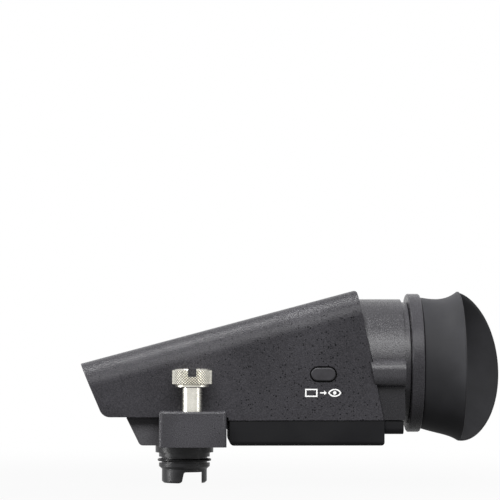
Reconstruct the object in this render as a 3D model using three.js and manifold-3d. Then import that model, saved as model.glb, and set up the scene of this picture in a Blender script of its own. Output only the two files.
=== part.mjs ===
// Electronic viewfinder: a head that tilts on a foot with a round contact plug and a captive thumb screw.
// Millimetres, +Z up, +X towards the eyepiece, -Y the side with the button. The origin is on the plug's
// axis, at the mounting face of the foot.
import * as THREE from 'three';
import { mergeVertices } from 'three/addons/utils/BufferGeometryUtils.js';
import Module from 'manifold-3d';

const wasm = await Module();
wasm.setup();

// Fits shared by all pieces
const seatGap = 0.3;
const slideGap = 0.35;
const runGap = 0.5;
const overrun = 2;
const weld = 0.0001;
const coarseSteps = 2;
const fineSteps = 4;
const boreSides = 12;
const innerSides = 28;
const rimSides = 36;

// Tilt axis of the head
const tiltX = -23.35;
const tiltZ = 14.55;

// Main housing: side outline, width and walls
const housingHalfWidth = 22.5;
const housingWall = 1.8;
const frontTopX = -33.8;
const frontTopZ = 26.5;
const browX = -32.2;
const browZ = 22.9;
const frontLean = 23.3 * Math.PI / 180;
const rearFootX = 64.6;
const rearLean = 11.3 * Math.PI / 180;
const housingFloorZ = 9.25;
const frontCornerRadius = 3.5;
const topCornerRadius = 1;
const topEdgeRadius = 8.5;

// Lower cover
const coverLeftX = 14.55;
const coverRearStep = 0.15;
const coverRightX = rearFootX + coverRearStep;
const coverTopZ = 7.9;
const coverWall = 1.6;
const coverSideInset = 0.2;
const coverHalfWidth = housingHalfWidth - coverSideInset;
const coverFrontRadius = 1.5;
const coverRearRadius = 1;
const coverEdgeRadius = 1.5;

// Screws of the lower cover
const coverScrewFrontInset = 6.45;
const coverScrewRearInset = 13.75;
const coverScrewSideInset = 4.3;
const coverScrewFrontX = coverLeftX + coverScrewFrontInset;
const coverScrewRearX = coverRightX - coverScrewRearInset;
const coverScrewY = housingHalfWidth - coverScrewSideInset;
const coverScrewShank = 1;
const coverScrewHead = 1.9;
const coverScrewHeadHeight = 1.3;
const coverScrewLength = 9.5;
const coverScrewSink = 0.9;
const bossWall = 1.3;

// Front floor plate
const floorPlateLeftX = -12;
const floorPlateThickness = 1.5;

// Hinge
const pinRadius = 1.5;
const knuckleRadius = 4.5;
const knuckleHalfWidth = 10;
const hingeWasher = 0.8;
const bayReach = 9.5;
const bayStart = -12 * Math.PI / 180;
const bayEnd = -195 * Math.PI / 180;
const bayWall = 1.6;

// Foot plate
const footTopX = -18.85;
const footToeX = -14.4;
const footToeRadius = 1.5;
const footRightX = 13.3;
const footStepZ = 5.3;
const footSideInset = 4.5;
const footHalfWidth = housingHalfWidth - footSideInset;
const armSink = 1.8;
const armFootX = -15.9;
const armAngle = 25 * Math.PI / 180;

// Clamp block
const blockLeftX = -8.05;
const blockRightX = 13.35;
const blockReach = 14.5;
const blockNearY = -housingHalfWidth - blockReach;
const blockBottomZ = 0.1;
const blockTopZ = 11.4;
const blockCornerRadius = 1.2;
const blockTopRadius = 0.7;
const tongueInset = 2;
const tongueLength = 6.4;
const tongueEndY = tongueLength - footHalfWidth;
const tongueTopZ = 3.6;

// Thumb screw, raised
const screwX = 2.45;
const screwReach = 7.5;
const screwY = -housingHalfWidth - screwReach;
const shankRadius = 3.25;
const threadRadius = 3;
const screwTipZ = 0.5;
const screwTipChamfer = 0.8;
const collarRadius = 5.45;
const collarBottomZ = 19.1;
const collarHeight = 0.75;
const headRadius = 6.45;
const headHeight = 5.35;
const domeHeight = 0.8;
const knurlDepth = 0.32;
const knurlMargin = 0.25;
const knurlCount = 36;
const knurlRows = 7;
const domeShares = [0.97, 0.85, 0.5];
const domePower = 2.5;
const coinSlotWidth = 2.7;
const coinSlotDepth = 2.8;
const washerWidth = 0.6;
const washerRadius = 4.5;
const washerZ = 9.35;
const grooveRadius = 2.3;

// Block screws
const blockScrewSpread = 5;
const blockScrewInset = 3.2;
const blockScrewY = blockScrewInset - footHalfWidth;
const blockScrewSink = 0.4;
const blockScrewRadius = 1.2;
const blockScrewHead = 2.2;
const blockScrewHeadHeight = 1.4;
const blockScrewLength = 5.6;

// Contact plug
const flangeRadius = 9.6;
const flangeHeight = 2.9;
const plugRadius = 8.45;
const ringGrooveTopZ = -4.35;
const ringGrooveWidth = 2.05;
const ringSection = 0.55;
const ringOuterRadius = 8.95;
const bandHeight = 1.1;
const bandChamfer = 0.9;
const skirtRadius = 7.45;
const skirtWall = 1.6;
const skirtBottomZ = -12.95;
const skirtCornerRadius = 0.6;
const plugRoofZ = -6.5;
const prongWindowTopZ = -9.3;
const prongLeftX = -1.8;
const prongStepX = 1.3;
const prongRightX = 5.7;
const prongWaistX = -0.1;
const prongRounding = 0.7;
const prongToeHeight = 0.4;
const insertThickness = 1.6;
const contactRadius = 0.55;
const contactHeight = 0.4;
const contactCircle = 3.4;
const contactCount = 8;

// Eyepiece housing
const crownRoom = 2.648;
const recessStep = 2.5;
const recessHalfWidth = housingHalfWidth - recessStep;
const archProud = 1.2;
const barrelRadius = recessHalfWidth + archProud;
const barrelReach = 7.1;
const barrelEndX = rearFootX + barrelReach;
const eyeWall = 1.8;
const spigotWall = 1.2;
const spigotDepth = 3;
const neckStep = 1;
const neckRadius = barrelRadius - neckStep;
const neckLength = 1.9;
const neckEndX = barrelEndX + neckLength;
const endWall = 1.5;
const hubStep = 1.8;
const hubRadius = neckRadius - hubStep;
const hubWall = 1.8;
const hubBore = hubRadius - hubWall;
const hubLength = 3.6;
const hubEndX = neckEndX + hubLength;
const windowStep = 3.3;
const windowRadius = hubBore - windowStep;
const windowThickness = 1.1;
const blisterRoom = 2.8;
const blisterHeight = 9.1;
const blisterProud = 1.5;
const blisterReach = housingHalfWidth + blisterProud;
const blisterLap = 0.5;
const blisterRounding = 3.6;
const blisterNose = 1.2;
const eyeCoverHeight = 4.3;
const eyeCoverBottomZ = coverTopZ - eyeCoverHeight;
const eyeCoverSideInset = 0.6;
const eyeCoverHalfWidth = recessHalfWidth - eyeCoverSideInset;
const eyeCoverWall = 1.4;
const eyeCoverRadius = 2;

// Eyecup ring and rubber eyecup
const ringProud = 1.8;
const ringRadius = barrelRadius + ringProud;
const ringOverhang = 0.8;
const ringEndX = hubEndX + ringOverhang;
const ringLip = 0.7;
const ringEdge = 0.25;
const cupNeckStep = 1.2;
const cupNeckRadius = ringRadius - cupNeckStep;
const cupLength = 13.4;
const cupRimX = ringEndX + cupLength;
const cupFlare = 3.4;
const cupFlarePower = 3.4;
const cupDroop = 1.05;
const cupSag = 0.6;
const cupBelly = 0.3;
const cupWall = 1.4;
const cupBaseThickness = 1.8;
const cupBaseStep = 0.8;
const cupBaseBore = hubBore + cupBaseStep;
const wingReach = 17;
const wingFlare = 1.8;
const wingPower = 1.4;
const wingTurn = 5 * Math.PI / 180;
const cupSides = 44;
const cupSteps = 7;

// Push button
const buttonZ = 23.1;
const buttonLength = 8.1;
const buttonHeight = 4.5;
const buttonClearance = 0.4;
const buttonProud = 0.5;
const buttonDome = 0.35;
const buttonFlange = 0.9;
const buttonFlangeDepth = 0.6;
const buttonStemRadius = 1.1;
const buttonStemLength = 0.4;
const buttonTravel = 0.6;

// Switch and its board
const switchSize = 6;
const switchDepth = 1.6;
const switchPlunger = 0.15;
const switchBoardThickness = 0.8;
const switchBoardWidth = 8;
const switchBoardHeight = 19;
const switchBoardRoom = 1.55;
const switchPostSpread = 7.5;
const switchPostRadius = 1.5;

// Optics
const lensBarrelLength = 23.1;
const lensBarrelFrontX = neckEndX - lensBarrelLength;
const lensBarrelRoom = 0.4;
const lensBarrelRadius = recessHalfWidth - eyeWall - seatGap - spigotWall - lensBarrelRoom;
const lensBarrelWall = 1.4;
const lensBarrelBore = lensBarrelRadius - lensBarrelWall;
const lensBarrelLip = 1.2;
const lensBarrelLipWidth = 3.9;
const lensBarrelLipBore = lensBarrelBore - lensBarrelLipWidth;
const socketWall = 1.4;
const socketDepth = 2.2;
const socketRoom = 0.5;
const fieldLensCentre = 3;
const fieldLensEdge = 1.2;
const carriageSetback = 7.8;
const carriageX = neckEndX - carriageSetback;
const carriageLength = 7.6;
const carriageWall = 1.8;
const carriageRadius = lensBarrelBore - seatGap;
const carriageLip = 0.8;
const carriageLipWidth = 1.4;
const carriageLipBore = carriageRadius - carriageWall - carriageLipWidth;
const lensEdge = 1.2;
const lensDomeHeight = 0.9;
const displayThickness = 1.6;
const displayFrameInset = 2.3;
const displayFrameSize = 2 * (lensBarrelRadius - displayFrameInset);
const displaySideBorder = 6;
const displayTopBorder = 7.5;
const displayWidth = displayFrameSize - 2 * displaySideBorder;
const displayHeight = displayFrameSize - 2 * displayTopBorder;
const displayFrameDepth = 3.2;

// Dioptre dial with its eccentric pin
const dialSetback = 5.2;
const dialX = neckEndX - dialSetback;
const dialInset = 0.9;
const dialRadius = 3.1;
const dialProud = 1.5;
const dialFluteDepth = 0.25;
const dialFlutes = 20;
const dialShaftRadius = 1.4;
const dialCrankRadius = 2.6;
const dialCrankThickness = 1;
const dialCrankRoom = 1;
const dialCrankY = recessHalfWidth - eyeWall - dialCrankRoom - dialCrankThickness;
const dialPinRadius = 0.6;
const dialPinReach = 1.9;
const dialPinLength = 1.8;
const dialPinPlay = 0.4;
const lugWall = 0.8;
const carriageTravel = 1.6;

// Circuit boards
const mainBoardLength = 56;
const mainBoardRearRoom = 25.1;
const mainBoardAlong = rearFootX - frontTopX - mainBoardRearRoom - mainBoardLength / 2;
const mainBoardSideRoom = 3.7;
const mainBoardWidth = 2 * (housingHalfWidth - housingWall - mainBoardSideRoom);
const boardPostInset = 4;
const boardPostAlong = mainBoardLength / 2 - boardPostInset;
const boardPostAcross = mainBoardWidth / 2 - boardPostInset;
const mainBoardThickness = 1.2;
const mainBoardDrop = 6.5;
const chipSize = 12;
const chipThickness = 1.4;
const lowBoardZ = 4.2;
const lowBoardEndRoom = 3;
const lowBoardLength = coverScrewRearX - coverScrewFrontX - 2 * lowBoardEndRoom;
const lowBoardSideRoom = 3.2;
const lowBoardWidth = 2 * (coverScrewY - lowBoardSideRoom);
const lowBoardThickness = 1.2;
const lowBoardX = (coverScrewFrontX + coverScrewRearX) / 2;
const lowBoardPostInset = 3;
const lowBoardPostX = lowBoardLength / 2 - lowBoardPostInset;
const lowBoardPostY = lowBoardWidth / 2 - lowBoardPostInset;
const boardPostRadius = 1.8;
const sensorWidth = 3;
const sensorHeight = 1.2;
const sensorDepth = 1;

// Closed three.js geometry as a solid that can be joined and cut, with its faces turned outwards
function solid(geometry) {
  const bare = geometry.clone();
  bare.deleteAttribute('normal');
  bare.deleteAttribute('uv');
  const merged = mergeVertices(bare, weld);
  const place = merged.attributes.position;
  const index = merged.index.array;
  const corners = [];
  let volume = 0;
  const [p, q, r] = [new THREE.Vector3(), new THREE.Vector3(), new THREE.Vector3()];
  for (let i = 0; i < index.length; i += 3) {
    const [a, b, c] = [index[i], index[i + 1], index[i + 2]];
    if (a === b || b === c || c === a) continue;
    corners.push(a, b, c);
    p.fromBufferAttribute(place, a);
    q.fromBufferAttribute(place, b);
    r.fromBufferAttribute(place, c);
    volume += p.dot(q.cross(r));
  }
  if (volume < 0) corners.reverse();
  return new wasm.Manifold(new wasm.Mesh({
    numProp: 3,
    vertProperties: new Float32Array(place.array),
    triVerts: new Uint32Array(corners),
  }));
}

const join = (first, ...others) => others.reduce((body, other) => body.add(other), first);
const cut = (first, ...others) => others.reduce((body, other) => body.subtract(other), first);

// Named mesh of a solid, with a material of its own
function piece(name, body, look) {
  const { vertProperties, triVerts } = body.getMesh();
  const geometry = new THREE.BufferGeometry();
  geometry.setAttribute('position', new THREE.BufferAttribute(vertProperties, 3));
  geometry.setIndex(new THREE.BufferAttribute(triVerts, 1));
  geometry.computeVertexNormals();
  const mesh = new THREE.Mesh(geometry, new THREE.MeshStandardMaterial(look));
  mesh.name = name;
  return mesh;
}

function place(object, x, y, z) {
  object.position.set(x, y, z);
  return object;
}

// Outline through corners [x, y, radius], each rounded by an arc of its radius
function outline(corners) {
  const shape = new THREE.Shape();
  corners.forEach(([x, y, radius = 0], i) => {
    if (radius === 0) {
      if (i === 0) shape.moveTo(x, y);
      else shape.lineTo(x, y);
      return;
    }
    const corner = new THREE.Vector2(x, y);
    const [backX, backY] = corners.at(i - 1);
    const [onX, onY] = corners[(i + 1) % corners.length];
    const back = new THREE.Vector2(backX, backY).sub(corner).normalize();
    const on = new THREE.Vector2(onX, onY).sub(corner).normalize();
    const half = back.angleTo(on) / 2;
    const reach = radius / Math.tan(half);
    const centre = back.clone().add(on).setLength(radius / Math.sin(half)).add(corner);
    const start = back.clone().multiplyScalar(reach).add(corner).sub(centre).angle();
    const end = on.clone().multiplyScalar(reach).add(corner).sub(centre).angle();
    shape.absarc(centre.x, centre.y, radius, start, end, back.cross(on) > 0);
  });
  return shape;
}

const rectangle = (left, right, bottom, top, radius = 0) => outline([
  [left, bottom, radius],
  [right, bottom, radius],
  [right, top, radius],
  [left, top, radius],
]);

function disc(x, y, radius) {
  const shape = new THREE.Shape();
  shape.absarc(x, y, radius, 0, 2 * Math.PI);
  return shape;
}

// Outlines made solid along an axis. Along Y and Z the outline's first axis is X, along X it is Y.
function extrude(shape, depth, steps) {
  return new THREE.ExtrudeGeometry(shape, { depth, bevelEnabled: false, curveSegments: steps });
}
function alongY(shape, near, far, steps = coarseSteps) {
  return solid(extrude(shape, far - near, steps).rotateX(Math.PI / 2).translate(0, far, 0));
}
function alongZ(shape, bottom, top, steps = coarseSteps) {
  return solid(extrude(shape, top - bottom, steps).translate(0, 0, bottom));
}
const turnToX = new THREE.Matrix4().makeBasis(
  new THREE.Vector3(0, 1, 0),
  new THREE.Vector3(0, 0, 1),
  new THREE.Vector3(1, 0, 0),
);
function alongX(shape, front, rear, steps = coarseSteps) {
  return solid(extrude(shape, rear - front, steps).applyMatrix4(turnToX).translate(front, 0, 0));
}

// Solid turned about Z from a profile of [radius, height] that starts and ends on the axis
function turned(profile, sides) {
  const points = profile.map(([radius, height]) => new THREE.Vector2(radius, height));
  return solid(new THREE.LatheGeometry(points, sides).rotateX(Math.PI / 2));
}
const rod = (radius, bottom, top, sides = boreSides) => turned(
  [[0, bottom], [radius, bottom], [radius, top], [0, top]],
  sides,
);
const rodAt = (x, y, radius, bottom, top) => alongZ(disc(x, y, radius), bottom, top, boreSides / 2);
const tube = (bore, radius, bottom, top, sides = rimSides) => turned(
  [[bore, bottom], [radius, bottom], [radius, top], [bore, top], [bore, bottom]],
  sides,
);

// Closed skin over rings of points: a pole closes each end, or the last ring joins the first
function skin(rings, poles) {
  const points = rings.flat();
  const columns = rings[0].length;
  const index = [];
  const rows = poles ? rings.length - 1 : rings.length;
  for (let row = 0; row < rows; row += 1) {
    for (let i = 0; i < columns; i += 1) {
      const next = (i + 1) % columns;
      const above = (row + 1) % rings.length;
      const [a, b] = [row * columns + i, row * columns + next];
      const [c, d] = [above * columns + next, above * columns + i];
      if ((i + row) % 2 === 0) index.push(a, b, d, b, c, d);
      else index.push(a, b, c, a, c, d);
    }
  }
  if (poles) {
    points.push(...poles);
    const last = (rings.length - 1) * columns;
    for (let i = 0; i < columns; i += 1) {
      const next = (i + 1) % columns;
      index.push(next, i, points.length - 2);
      index.push(last + i, last + next, points.length - 1);
    }
  }
  const geometry = new THREE.BufferGeometry().setFromPoints(points);
  geometry.setIndex(index);
  return solid(geometry);
}

// A line in a side view: a point, an angle, and how far it is moved to its left
const line = (x, z, angle, inset) => ({
  x: x - Math.sin(angle) * inset,
  z: z + Math.cos(angle) * inset,
  angle,
});
function meet(a, b) {
  const across = Math.sin(b.angle - a.angle);
  const along = ((b.x - a.x) * Math.sin(b.angle) - (b.z - a.z) * Math.cos(b.angle)) / across;
  return [a.x + Math.cos(a.angle) * along, a.z + Math.sin(a.angle) * along];
}

// Finishes
const moulded = { color: '#3d3b40', roughness: 0.55, metalness: 0 };
const smoothBlack = { color: '#252527', roughness: 0.4, metalness: 0 };
const footGrey = { color: '#46444a', roughness: 0.5, metalness: 0 };
const softBlack = { color: '#1c1c1d', roughness: 0.8, metalness: 0 };
const nickel = { color: '#b9b4ab', roughness: 0.25, metalness: 1 };
const steel = { color: '#8d8f92', roughness: 0.35, metalness: 1 };
const brass = { color: '#c8a555', roughness: 0.3, metalness: 1 };
const glass = { color: '#20303a', roughness: 0.05, metalness: 0 };
const board = { color: '#1f5136', roughness: 0.5, metalness: 0 };
const chip = { color: '#19191b', roughness: 0.45, metalness: 0 };

// Places that several pieces share
const lensShares = [1, 0.55];
const pinHalfLength = knuckleHalfWidth + hingeWasher + bayWall;
const windowX = neckEndX - endWall / 2;
const cupStartX = ringEndX + seatGap;
const sillZ = coverTopZ + seatGap;
const socketRadius = lensBarrelRadius + seatGap + socketWall;
const opticZ = sillZ + socketRoom + socketRadius;
const rearTopZ = opticZ + barrelRadius + crownRoom;
const rearTopX = rearFootX - (rearTopZ - coverTopZ) * Math.tan(rearLean);
const topSlope = Math.atan((rearTopZ - frontTopZ) / (rearTopX - frontTopX));
const dialZ = opticZ - carriageRadius + dialInset;
const blisterZ = dialZ + dialRadius + blisterRoom + blisterHeight / 2;
const buttonX = lensBarrelFrontX - switchBoardRoom - switchBoardWidth / 2;
const sensorZ = opticZ + (hubBore + windowRadius) / 2;
const lugInnerY = carriageRadius / 2;
const lugOuterY = dialCrankY - seatGap;
const lugHalfLength = dialPinRadius + dialPinPlay + lugWall;
const lugBottomZ = dialZ + dialPinReach / 2 - dialPinRadius - dialPinPlay - lugWall;
const lugTopZ = dialZ + dialPinReach + dialPinRadius + dialPinPlay + lugWall;
const footTopZ = housingFloorZ - seatGap;
const wallInnerY = housingWall - housingHalfWidth;
const bayHalfWidth = knuckleHalfWidth + hingeWasher + 2 * seatGap;
const housingSpan = rearFootX - frontTopX;
const collarTopZ = collarBottomZ + collarHeight;
const headTopZ = collarTopZ + headHeight;
const skirtBore = skirtRadius - skirtWall;
const spigotInset = eyeWall + seatGap;
const cavityEndX = neckEndX - endWall;
const screwBore = coverScrewShank + seatGap;
const blockScrewTopZ = blockScrewSink + blockScrewHeadHeight + blockScrewLength;
const blockMiddleX = (blockLeftX + blockRightX) / 2;
const blockScrewPlaces = [-blockScrewSpread, blockScrewSpread].map((x) => [blockMiddleX + x, blockScrewY]);
const bossTopZ = buttonZ - switchBoardHeight / 2 - seatGap;
const coverScrewTopZ = coverScrewSink + coverScrewHeadHeight + coverScrewLength;
const coverScrewPlaces = [coverScrewFrontX, coverScrewRearX].flatMap((x) => [
  [x, -coverScrewY],
  [x, coverScrewY],
]);

const spread = (middle, reach) => [middle - reach, middle + reach];
const boardPostPlaces = spread(0, boardPostAcross).flatMap((across) => (
  spread(mainBoardAlong, boardPostAlong).map((along) => [across, along])
));
const lowBoardPostPlaces = spread(lowBoardX, lowBoardPostX).flatMap((x) => (
  spread(0, lowBoardPostY).map((y) => [x, y])
));

// Foot plate with the arm and knuckle of the hinge
function hingeBase() {
  const plate = alongY(outline([
    [footToeX, 0, footToeRadius],
    [footRightX, 0],
    [footRightX, footStepZ],
    [coverLeftX - seatGap, footStepZ],
    [coverLeftX - seatGap, footTopZ],
    [footTopX, footTopZ],
  ]), -footHalfWidth, footHalfWidth);
  const arm = alongY(outline([
    [tiltX, tiltZ - knuckleRadius],
    [footTopX, footTopZ],
    [footTopX + armSink, footTopZ - armSink],
    [armFootX, footTopZ - armSink],
    [tiltX + knuckleRadius * Math.cos(armAngle), tiltZ - knuckleRadius * Math.sin(armAngle)],
    [tiltX, tiltZ],
  ]), -knuckleHalfWidth, knuckleHalfWidth);
  const knuckle = alongY(
    disc(tiltX, tiltZ, knuckleRadius),
    -knuckleHalfWidth,
    knuckleHalfWidth,
    fineSteps * 3,
  );
  const bore = pinCut(knuckleHalfWidth + overrun);
  const recess = tongue(seatGap);
  const screwHoles = blockScrewPlaces.map(([x, y]) => (
    rodAt(x, y, blockScrewRadius + seatGap, blockBottomZ, blockScrewTopZ + seatGap)
  ));
  return cut(join(plate, arm, knuckle), bore, recess, ...screwHoles);
}

// Tongue of the clamp block, which lies in a recess under the foot plate
function tongue(clearance) {
  return alongZ(
    rectangle(
      blockLeftX + tongueInset - clearance,
      blockRightX - tongueInset + clearance,
      -footHalfWidth - overrun,
      tongueEndY + clearance,
    ),
    blockBottomZ - clearance,
    tongueTopZ + clearance,
  );
}

function clampBlock() {
  const backY = -housingHalfWidth - runGap;
  const body = alongZ(outline([
    [blockLeftX, blockNearY, blockCornerRadius],
    [blockRightX, blockNearY, blockCornerRadius],
    [blockRightX, backY],
    [blockLeftX, backY],
  ]), blockBottomZ, blockTopZ, fineSteps);
  const crownX = alongY(outline([
    [blockLeftX, blockBottomZ],
    [blockRightX, blockBottomZ],
    [blockRightX, blockTopZ, blockTopRadius],
    [blockLeftX, blockTopZ, blockTopRadius],
  ]), blockNearY, backY);
  const crownY = alongX(outline([
    [blockNearY, blockBottomZ],
    [backY, blockBottomZ],
    [backY, blockTopZ, blockTopRadius],
    [blockNearY, blockTopZ, blockTopRadius],
  ]), blockLeftX, blockRightX);
  const ledge = alongZ(
    rectangle(blockLeftX, blockRightX, backY - blockCornerRadius, -footHalfWidth - seatGap),
    blockBottomZ,
    footTopZ,
  );
  const flap = tongue(0).intersect(alongZ(
    rectangle(blockLeftX, blockRightX, -footHalfWidth - 2 * seatGap, tongueEndY),
    blockBottomZ,
    tongueTopZ,
  ));
  const bore = rodAt(screwX, screwY, shankRadius + slideGap, 0, blockTopZ + overrun);
  const chamberTopZ = washerZ + washerWidth / 2 + seatGap;
  const chamber = rodAt(screwX, screwY, washerRadius + slideGap, -overrun, chamberTopZ);
  const screwHoles = blockScrewPlaces.flatMap(([x, y]) => [
    rodAt(x, y, blockScrewRadius + seatGap, 0, tongueTopZ + overrun),
    rodAt(x, y, blockScrewHead + seatGap, 0, blockScrewSink + blockScrewHeadHeight + seatGap),
  ]);
  return cut(join(body.intersect(crownX).intersect(crownY), ledge, flap), bore, chamber, ...screwHoles);
}

// Cheese-head screw that stands on its head
const screwShape = (shank, head, headHeight, length, bottom) => turned([
  [0, bottom],
  [head, bottom],
  [head, bottom + headHeight],
  [shank, bottom + headHeight],
  [shank, bottom + headHeight + length],
  [0, bottom + headHeight + length],
], boreSides);

// Shell of the contact plug: flange, groove of the rubber ring, tapered skirt cut away to two prongs
function plugShell() {
  const grooveEndZ = ringGrooveTopZ - ringGrooveWidth;
  const bandEndZ = grooveEndZ - bandHeight;
  const grooveBottom = ringOuterRadius - 2 * ringSection - seatGap;
  const body = turned([
    [0, -seatGap],
    [flangeRadius, -seatGap],
    [flangeRadius, -flangeHeight],
    [plugRadius, -flangeHeight],
    [plugRadius, ringGrooveTopZ],
    [grooveBottom, ringGrooveTopZ],
    [grooveBottom, grooveEndZ],
    [plugRadius, grooveEndZ],
    [plugRadius, bandEndZ],
    [skirtRadius, bandEndZ - bandChamfer],
    [skirtRadius, skirtBottomZ + skirtCornerRadius],
    [skirtRadius - skirtCornerRadius, skirtBottomZ],
    [skirtBore, skirtBottomZ],
    [skirtBore, plugRoofZ],
    [0, plugRoofZ],
  ], rimSides);
  const prongWindow = alongY(outline([
    [prongLeftX, skirtBottomZ],
    [prongLeftX, skirtBottomZ - overrun],
    [prongRightX, skirtBottomZ - overrun],
    [prongRightX, prongWindowTopZ],
    [prongStepX, prongWindowTopZ],
    [prongWaistX, prongWindowTopZ, prongRounding],
    [prongWaistX - prongRounding, skirtBottomZ + prongToeHeight, prongRounding],
  ]), -flangeRadius, flangeRadius);
  return body.subtract(prongWindow);
}

// Contact insert, seated under the roof of the plug
function plugInsert() {
  const topZ = plugRoofZ - seatGap;
  const faceZ = topZ - insertThickness;
  const contacts = Array.from({ length: contactCount }, (_, i) => {
    const angle = 2 * Math.PI * i / contactCount;
    const [x, y] = [contactCircle * Math.cos(angle), contactCircle * Math.sin(angle)];
    return rodAt(x, y, contactRadius, faceZ - contactHeight, topZ);
  });
  return join(rod(skirtBore - seatGap, faceZ, topZ, rimSides), ...contacts);
}

// Thumb screw about its own axis: the knurl is a lattice of peaks and valleys, and a coin slot
// crosses the dome
function thumbScrew() {
  const columns = 2 * knurlCount;
  const ring = (radius, z, dentDepth = 0, dentStart = 0) => Array.from({ length: columns }, (_, i) => {
    const angle = 2 * Math.PI * i / columns;
    const here = radius - (dentStart + i) % 2 * dentDepth;
    return new THREE.Vector3(here * Math.cos(angle), here * Math.sin(angle), z);
  });
  const knurlBottomZ = collarTopZ + knurlMargin;
  const knurlTopZ = headTopZ - domeHeight;
  const knurl = Array.from({ length: knurlRows }, (_, row) => ring(
    headRadius,
    knurlBottomZ + (knurlTopZ - knurlBottomZ) * row / (knurlRows - 1),
    knurlDepth,
    (row + 1) % 2,
  ));
  const dome = domeShares.map((share) => ring(
    (headRadius - knurlDepth) * share,
    headTopZ - domeHeight * share ** domePower,
  ));
  const grip = skin([
    ring(headRadius - knurlMargin - knurlDepth, collarTopZ),
    ...knurl,
    ...dome,
  ], [new THREE.Vector3(0, 0, collarTopZ), new THREE.Vector3(0, 0, headTopZ)]);
  const grooveBottomZ = washerZ - washerWidth / 2 - seatGap;
  const grooveTopZ = washerZ + washerWidth / 2 + seatGap;
  const stem = turned([
    [0, screwTipZ],
    [threadRadius - screwTipChamfer, screwTipZ],
    [threadRadius, screwTipZ + screwTipChamfer],
    [threadRadius, grooveBottomZ],
    [grooveRadius, grooveBottomZ],
    [grooveRadius, grooveTopZ],
    [shankRadius, grooveTopZ],
    [shankRadius, collarBottomZ],
    [collarRadius, collarBottomZ],
    [collarRadius, collarTopZ + collarHeight],
    [0, collarTopZ + collarHeight],
  ], rimSides);
  const coinSlot = alongY(
    rectangle(-coinSlotWidth / 2, coinSlotWidth / 2, headTopZ - coinSlotDepth, headTopZ + overrun),
    -headRadius - overrun,
    headRadius + overrun,
  );
  return join(grip, stem).subtract(coinSlot);
}

// Side outline of the housing, moved inwards by the inset. The foot corners close it at the bottom.
function housingOutline(inset, footCorners) {
  const floor = line(0, housingFloorZ, 0, inset);
  const rear = line(rearFootX, coverTopZ, Math.PI / 2 + rearLean, inset);
  const top = line(frontTopX, frontTopZ, Math.PI + topSlope, inset);
  const brow = line(browX, browZ, Math.atan2(browZ - frontTopZ, browX - frontTopX), inset);
  const front = line(browX, browZ, frontLean - Math.PI / 2, inset);
  return outline([
    [...meet(front, floor), frontCornerRadius - inset],
    ...footCorners,
    meet(line(0, sillZ, 0, 0), rear),
    [...meet(rear, top), Math.max(topCornerRadius - inset, 0)],
    meet(top, brow),
    meet(brow, front),
  ]);
}

// Place in the sloped top face: across, up from the face, and along it from the front edge
const topFrame = new THREE.Matrix4().makeBasis(
  new THREE.Vector3(0, 1, 0),
  new THREE.Vector3(-Math.sin(topSlope), 0, Math.cos(topSlope)),
  new THREE.Vector3(Math.cos(topSlope), 0, Math.sin(topSlope)),
).setPosition(frontTopX, 0, frontTopZ);

// Wedge with its two long top edges rounded along the slope
function housingBody(inset, footCorners) {
  const half = housingHalfWidth - inset;
  const section = outline([
    [-half, -housingSpan],
    [half, -housingSpan],
    [half, -inset, topEdgeRadius - inset],
    [-half, -inset, topEdgeRadius - inset],
  ]);
  const crown = extrude(section, 2 * housingSpan, fineSteps).translate(0, 0, -housingSpan / 2);
  return alongY(housingOutline(inset, footCorners), -half, half, fineSteps)
    .intersect(solid(crown.applyMatrix4(topFrame)));
}

// Sector about the tilt axis in which the arm of the foot swings, with the room round the knuckle
function bay(wall, halfWidth) {
  const spread = Math.asin(wall / bayReach);
  const sector = new THREE.Shape();
  sector.moveTo(tiltX, tiltZ);
  sector.absarc(tiltX, tiltZ, bayReach + wall, bayEnd - spread, bayStart + spread);
  return join(
    alongY(sector, -halfWidth, halfWidth, fineSteps * 2),
    alongY(disc(tiltX, tiltZ, knuckleRadius + runGap + wall), -halfWidth, halfWidth, fineSteps * 3),
  );
}
const pinCut = (halfWidth) => (
  alongY(disc(tiltX, tiltZ, pinRadius + seatGap), -halfWidth, halfWidth, boreSides / 2)
);

// Outline of the eyepiece seen from behind: a round arch that runs down into two flat recessed sides
function arch(inset, footZ) {
  const side = recessHalfWidth - inset;
  const radius = barrelRadius - inset;
  const below = Math.acos(side / radius);
  const shape = new THREE.Shape();
  shape.moveTo(-side, footZ);
  shape.lineTo(side, footZ);
  shape.absarc(0, opticZ, radius, -below, Math.PI + below);
  return shape;
}

// Everything behind a line along the housing's rear wall that is moved forwards by the inset, or ahead of it
function splitAtRear(inset, endX, halfWidth) {
  const rear = line(rearFootX, coverTopZ, Math.PI / 2 + rearLean, inset);
  const [footX, footZ] = meet(rear, line(0, -overrun, 0, 0));
  const [headX, headZ] = meet(rear, line(0, housingSpan, 0, 0));
  return alongY(outline([
    [footX, footZ],
    [endX, footZ],
    [endX, headZ],
    [headX, headZ],
  ]), -halfWidth, halfWidth);
}
const behindHousing = (inset) => splitAtRear(inset, housingSpan, housingSpan);
const aheadOfEyepiece = () => splitAtRear(-seatGap, 0, housingHalfWidth + seatGap);

const eyeRod = (radius, front, rear, sides = rimSides) => (
  alongX(disc(0, opticZ, radius), front, rear, sides / 2)
);
const eyeTube = (bore, radius, front, rear, sides = rimSides) => (
  eyeRod(radius, front, rear, sides).subtract(eyeRod(bore, front - overrun, rear + overrun, sides))
);

function stadium(x, z, length, height) {
  const shape = new THREE.Shape();
  const middle = (length - height) / 2;
  shape.absarc(x + middle, z, height / 2, -Math.PI / 2, Math.PI / 2);
  shape.absarc(x - middle, z, height / 2, Math.PI / 2, 3 * Math.PI / 2);
  return shape;
}

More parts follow.
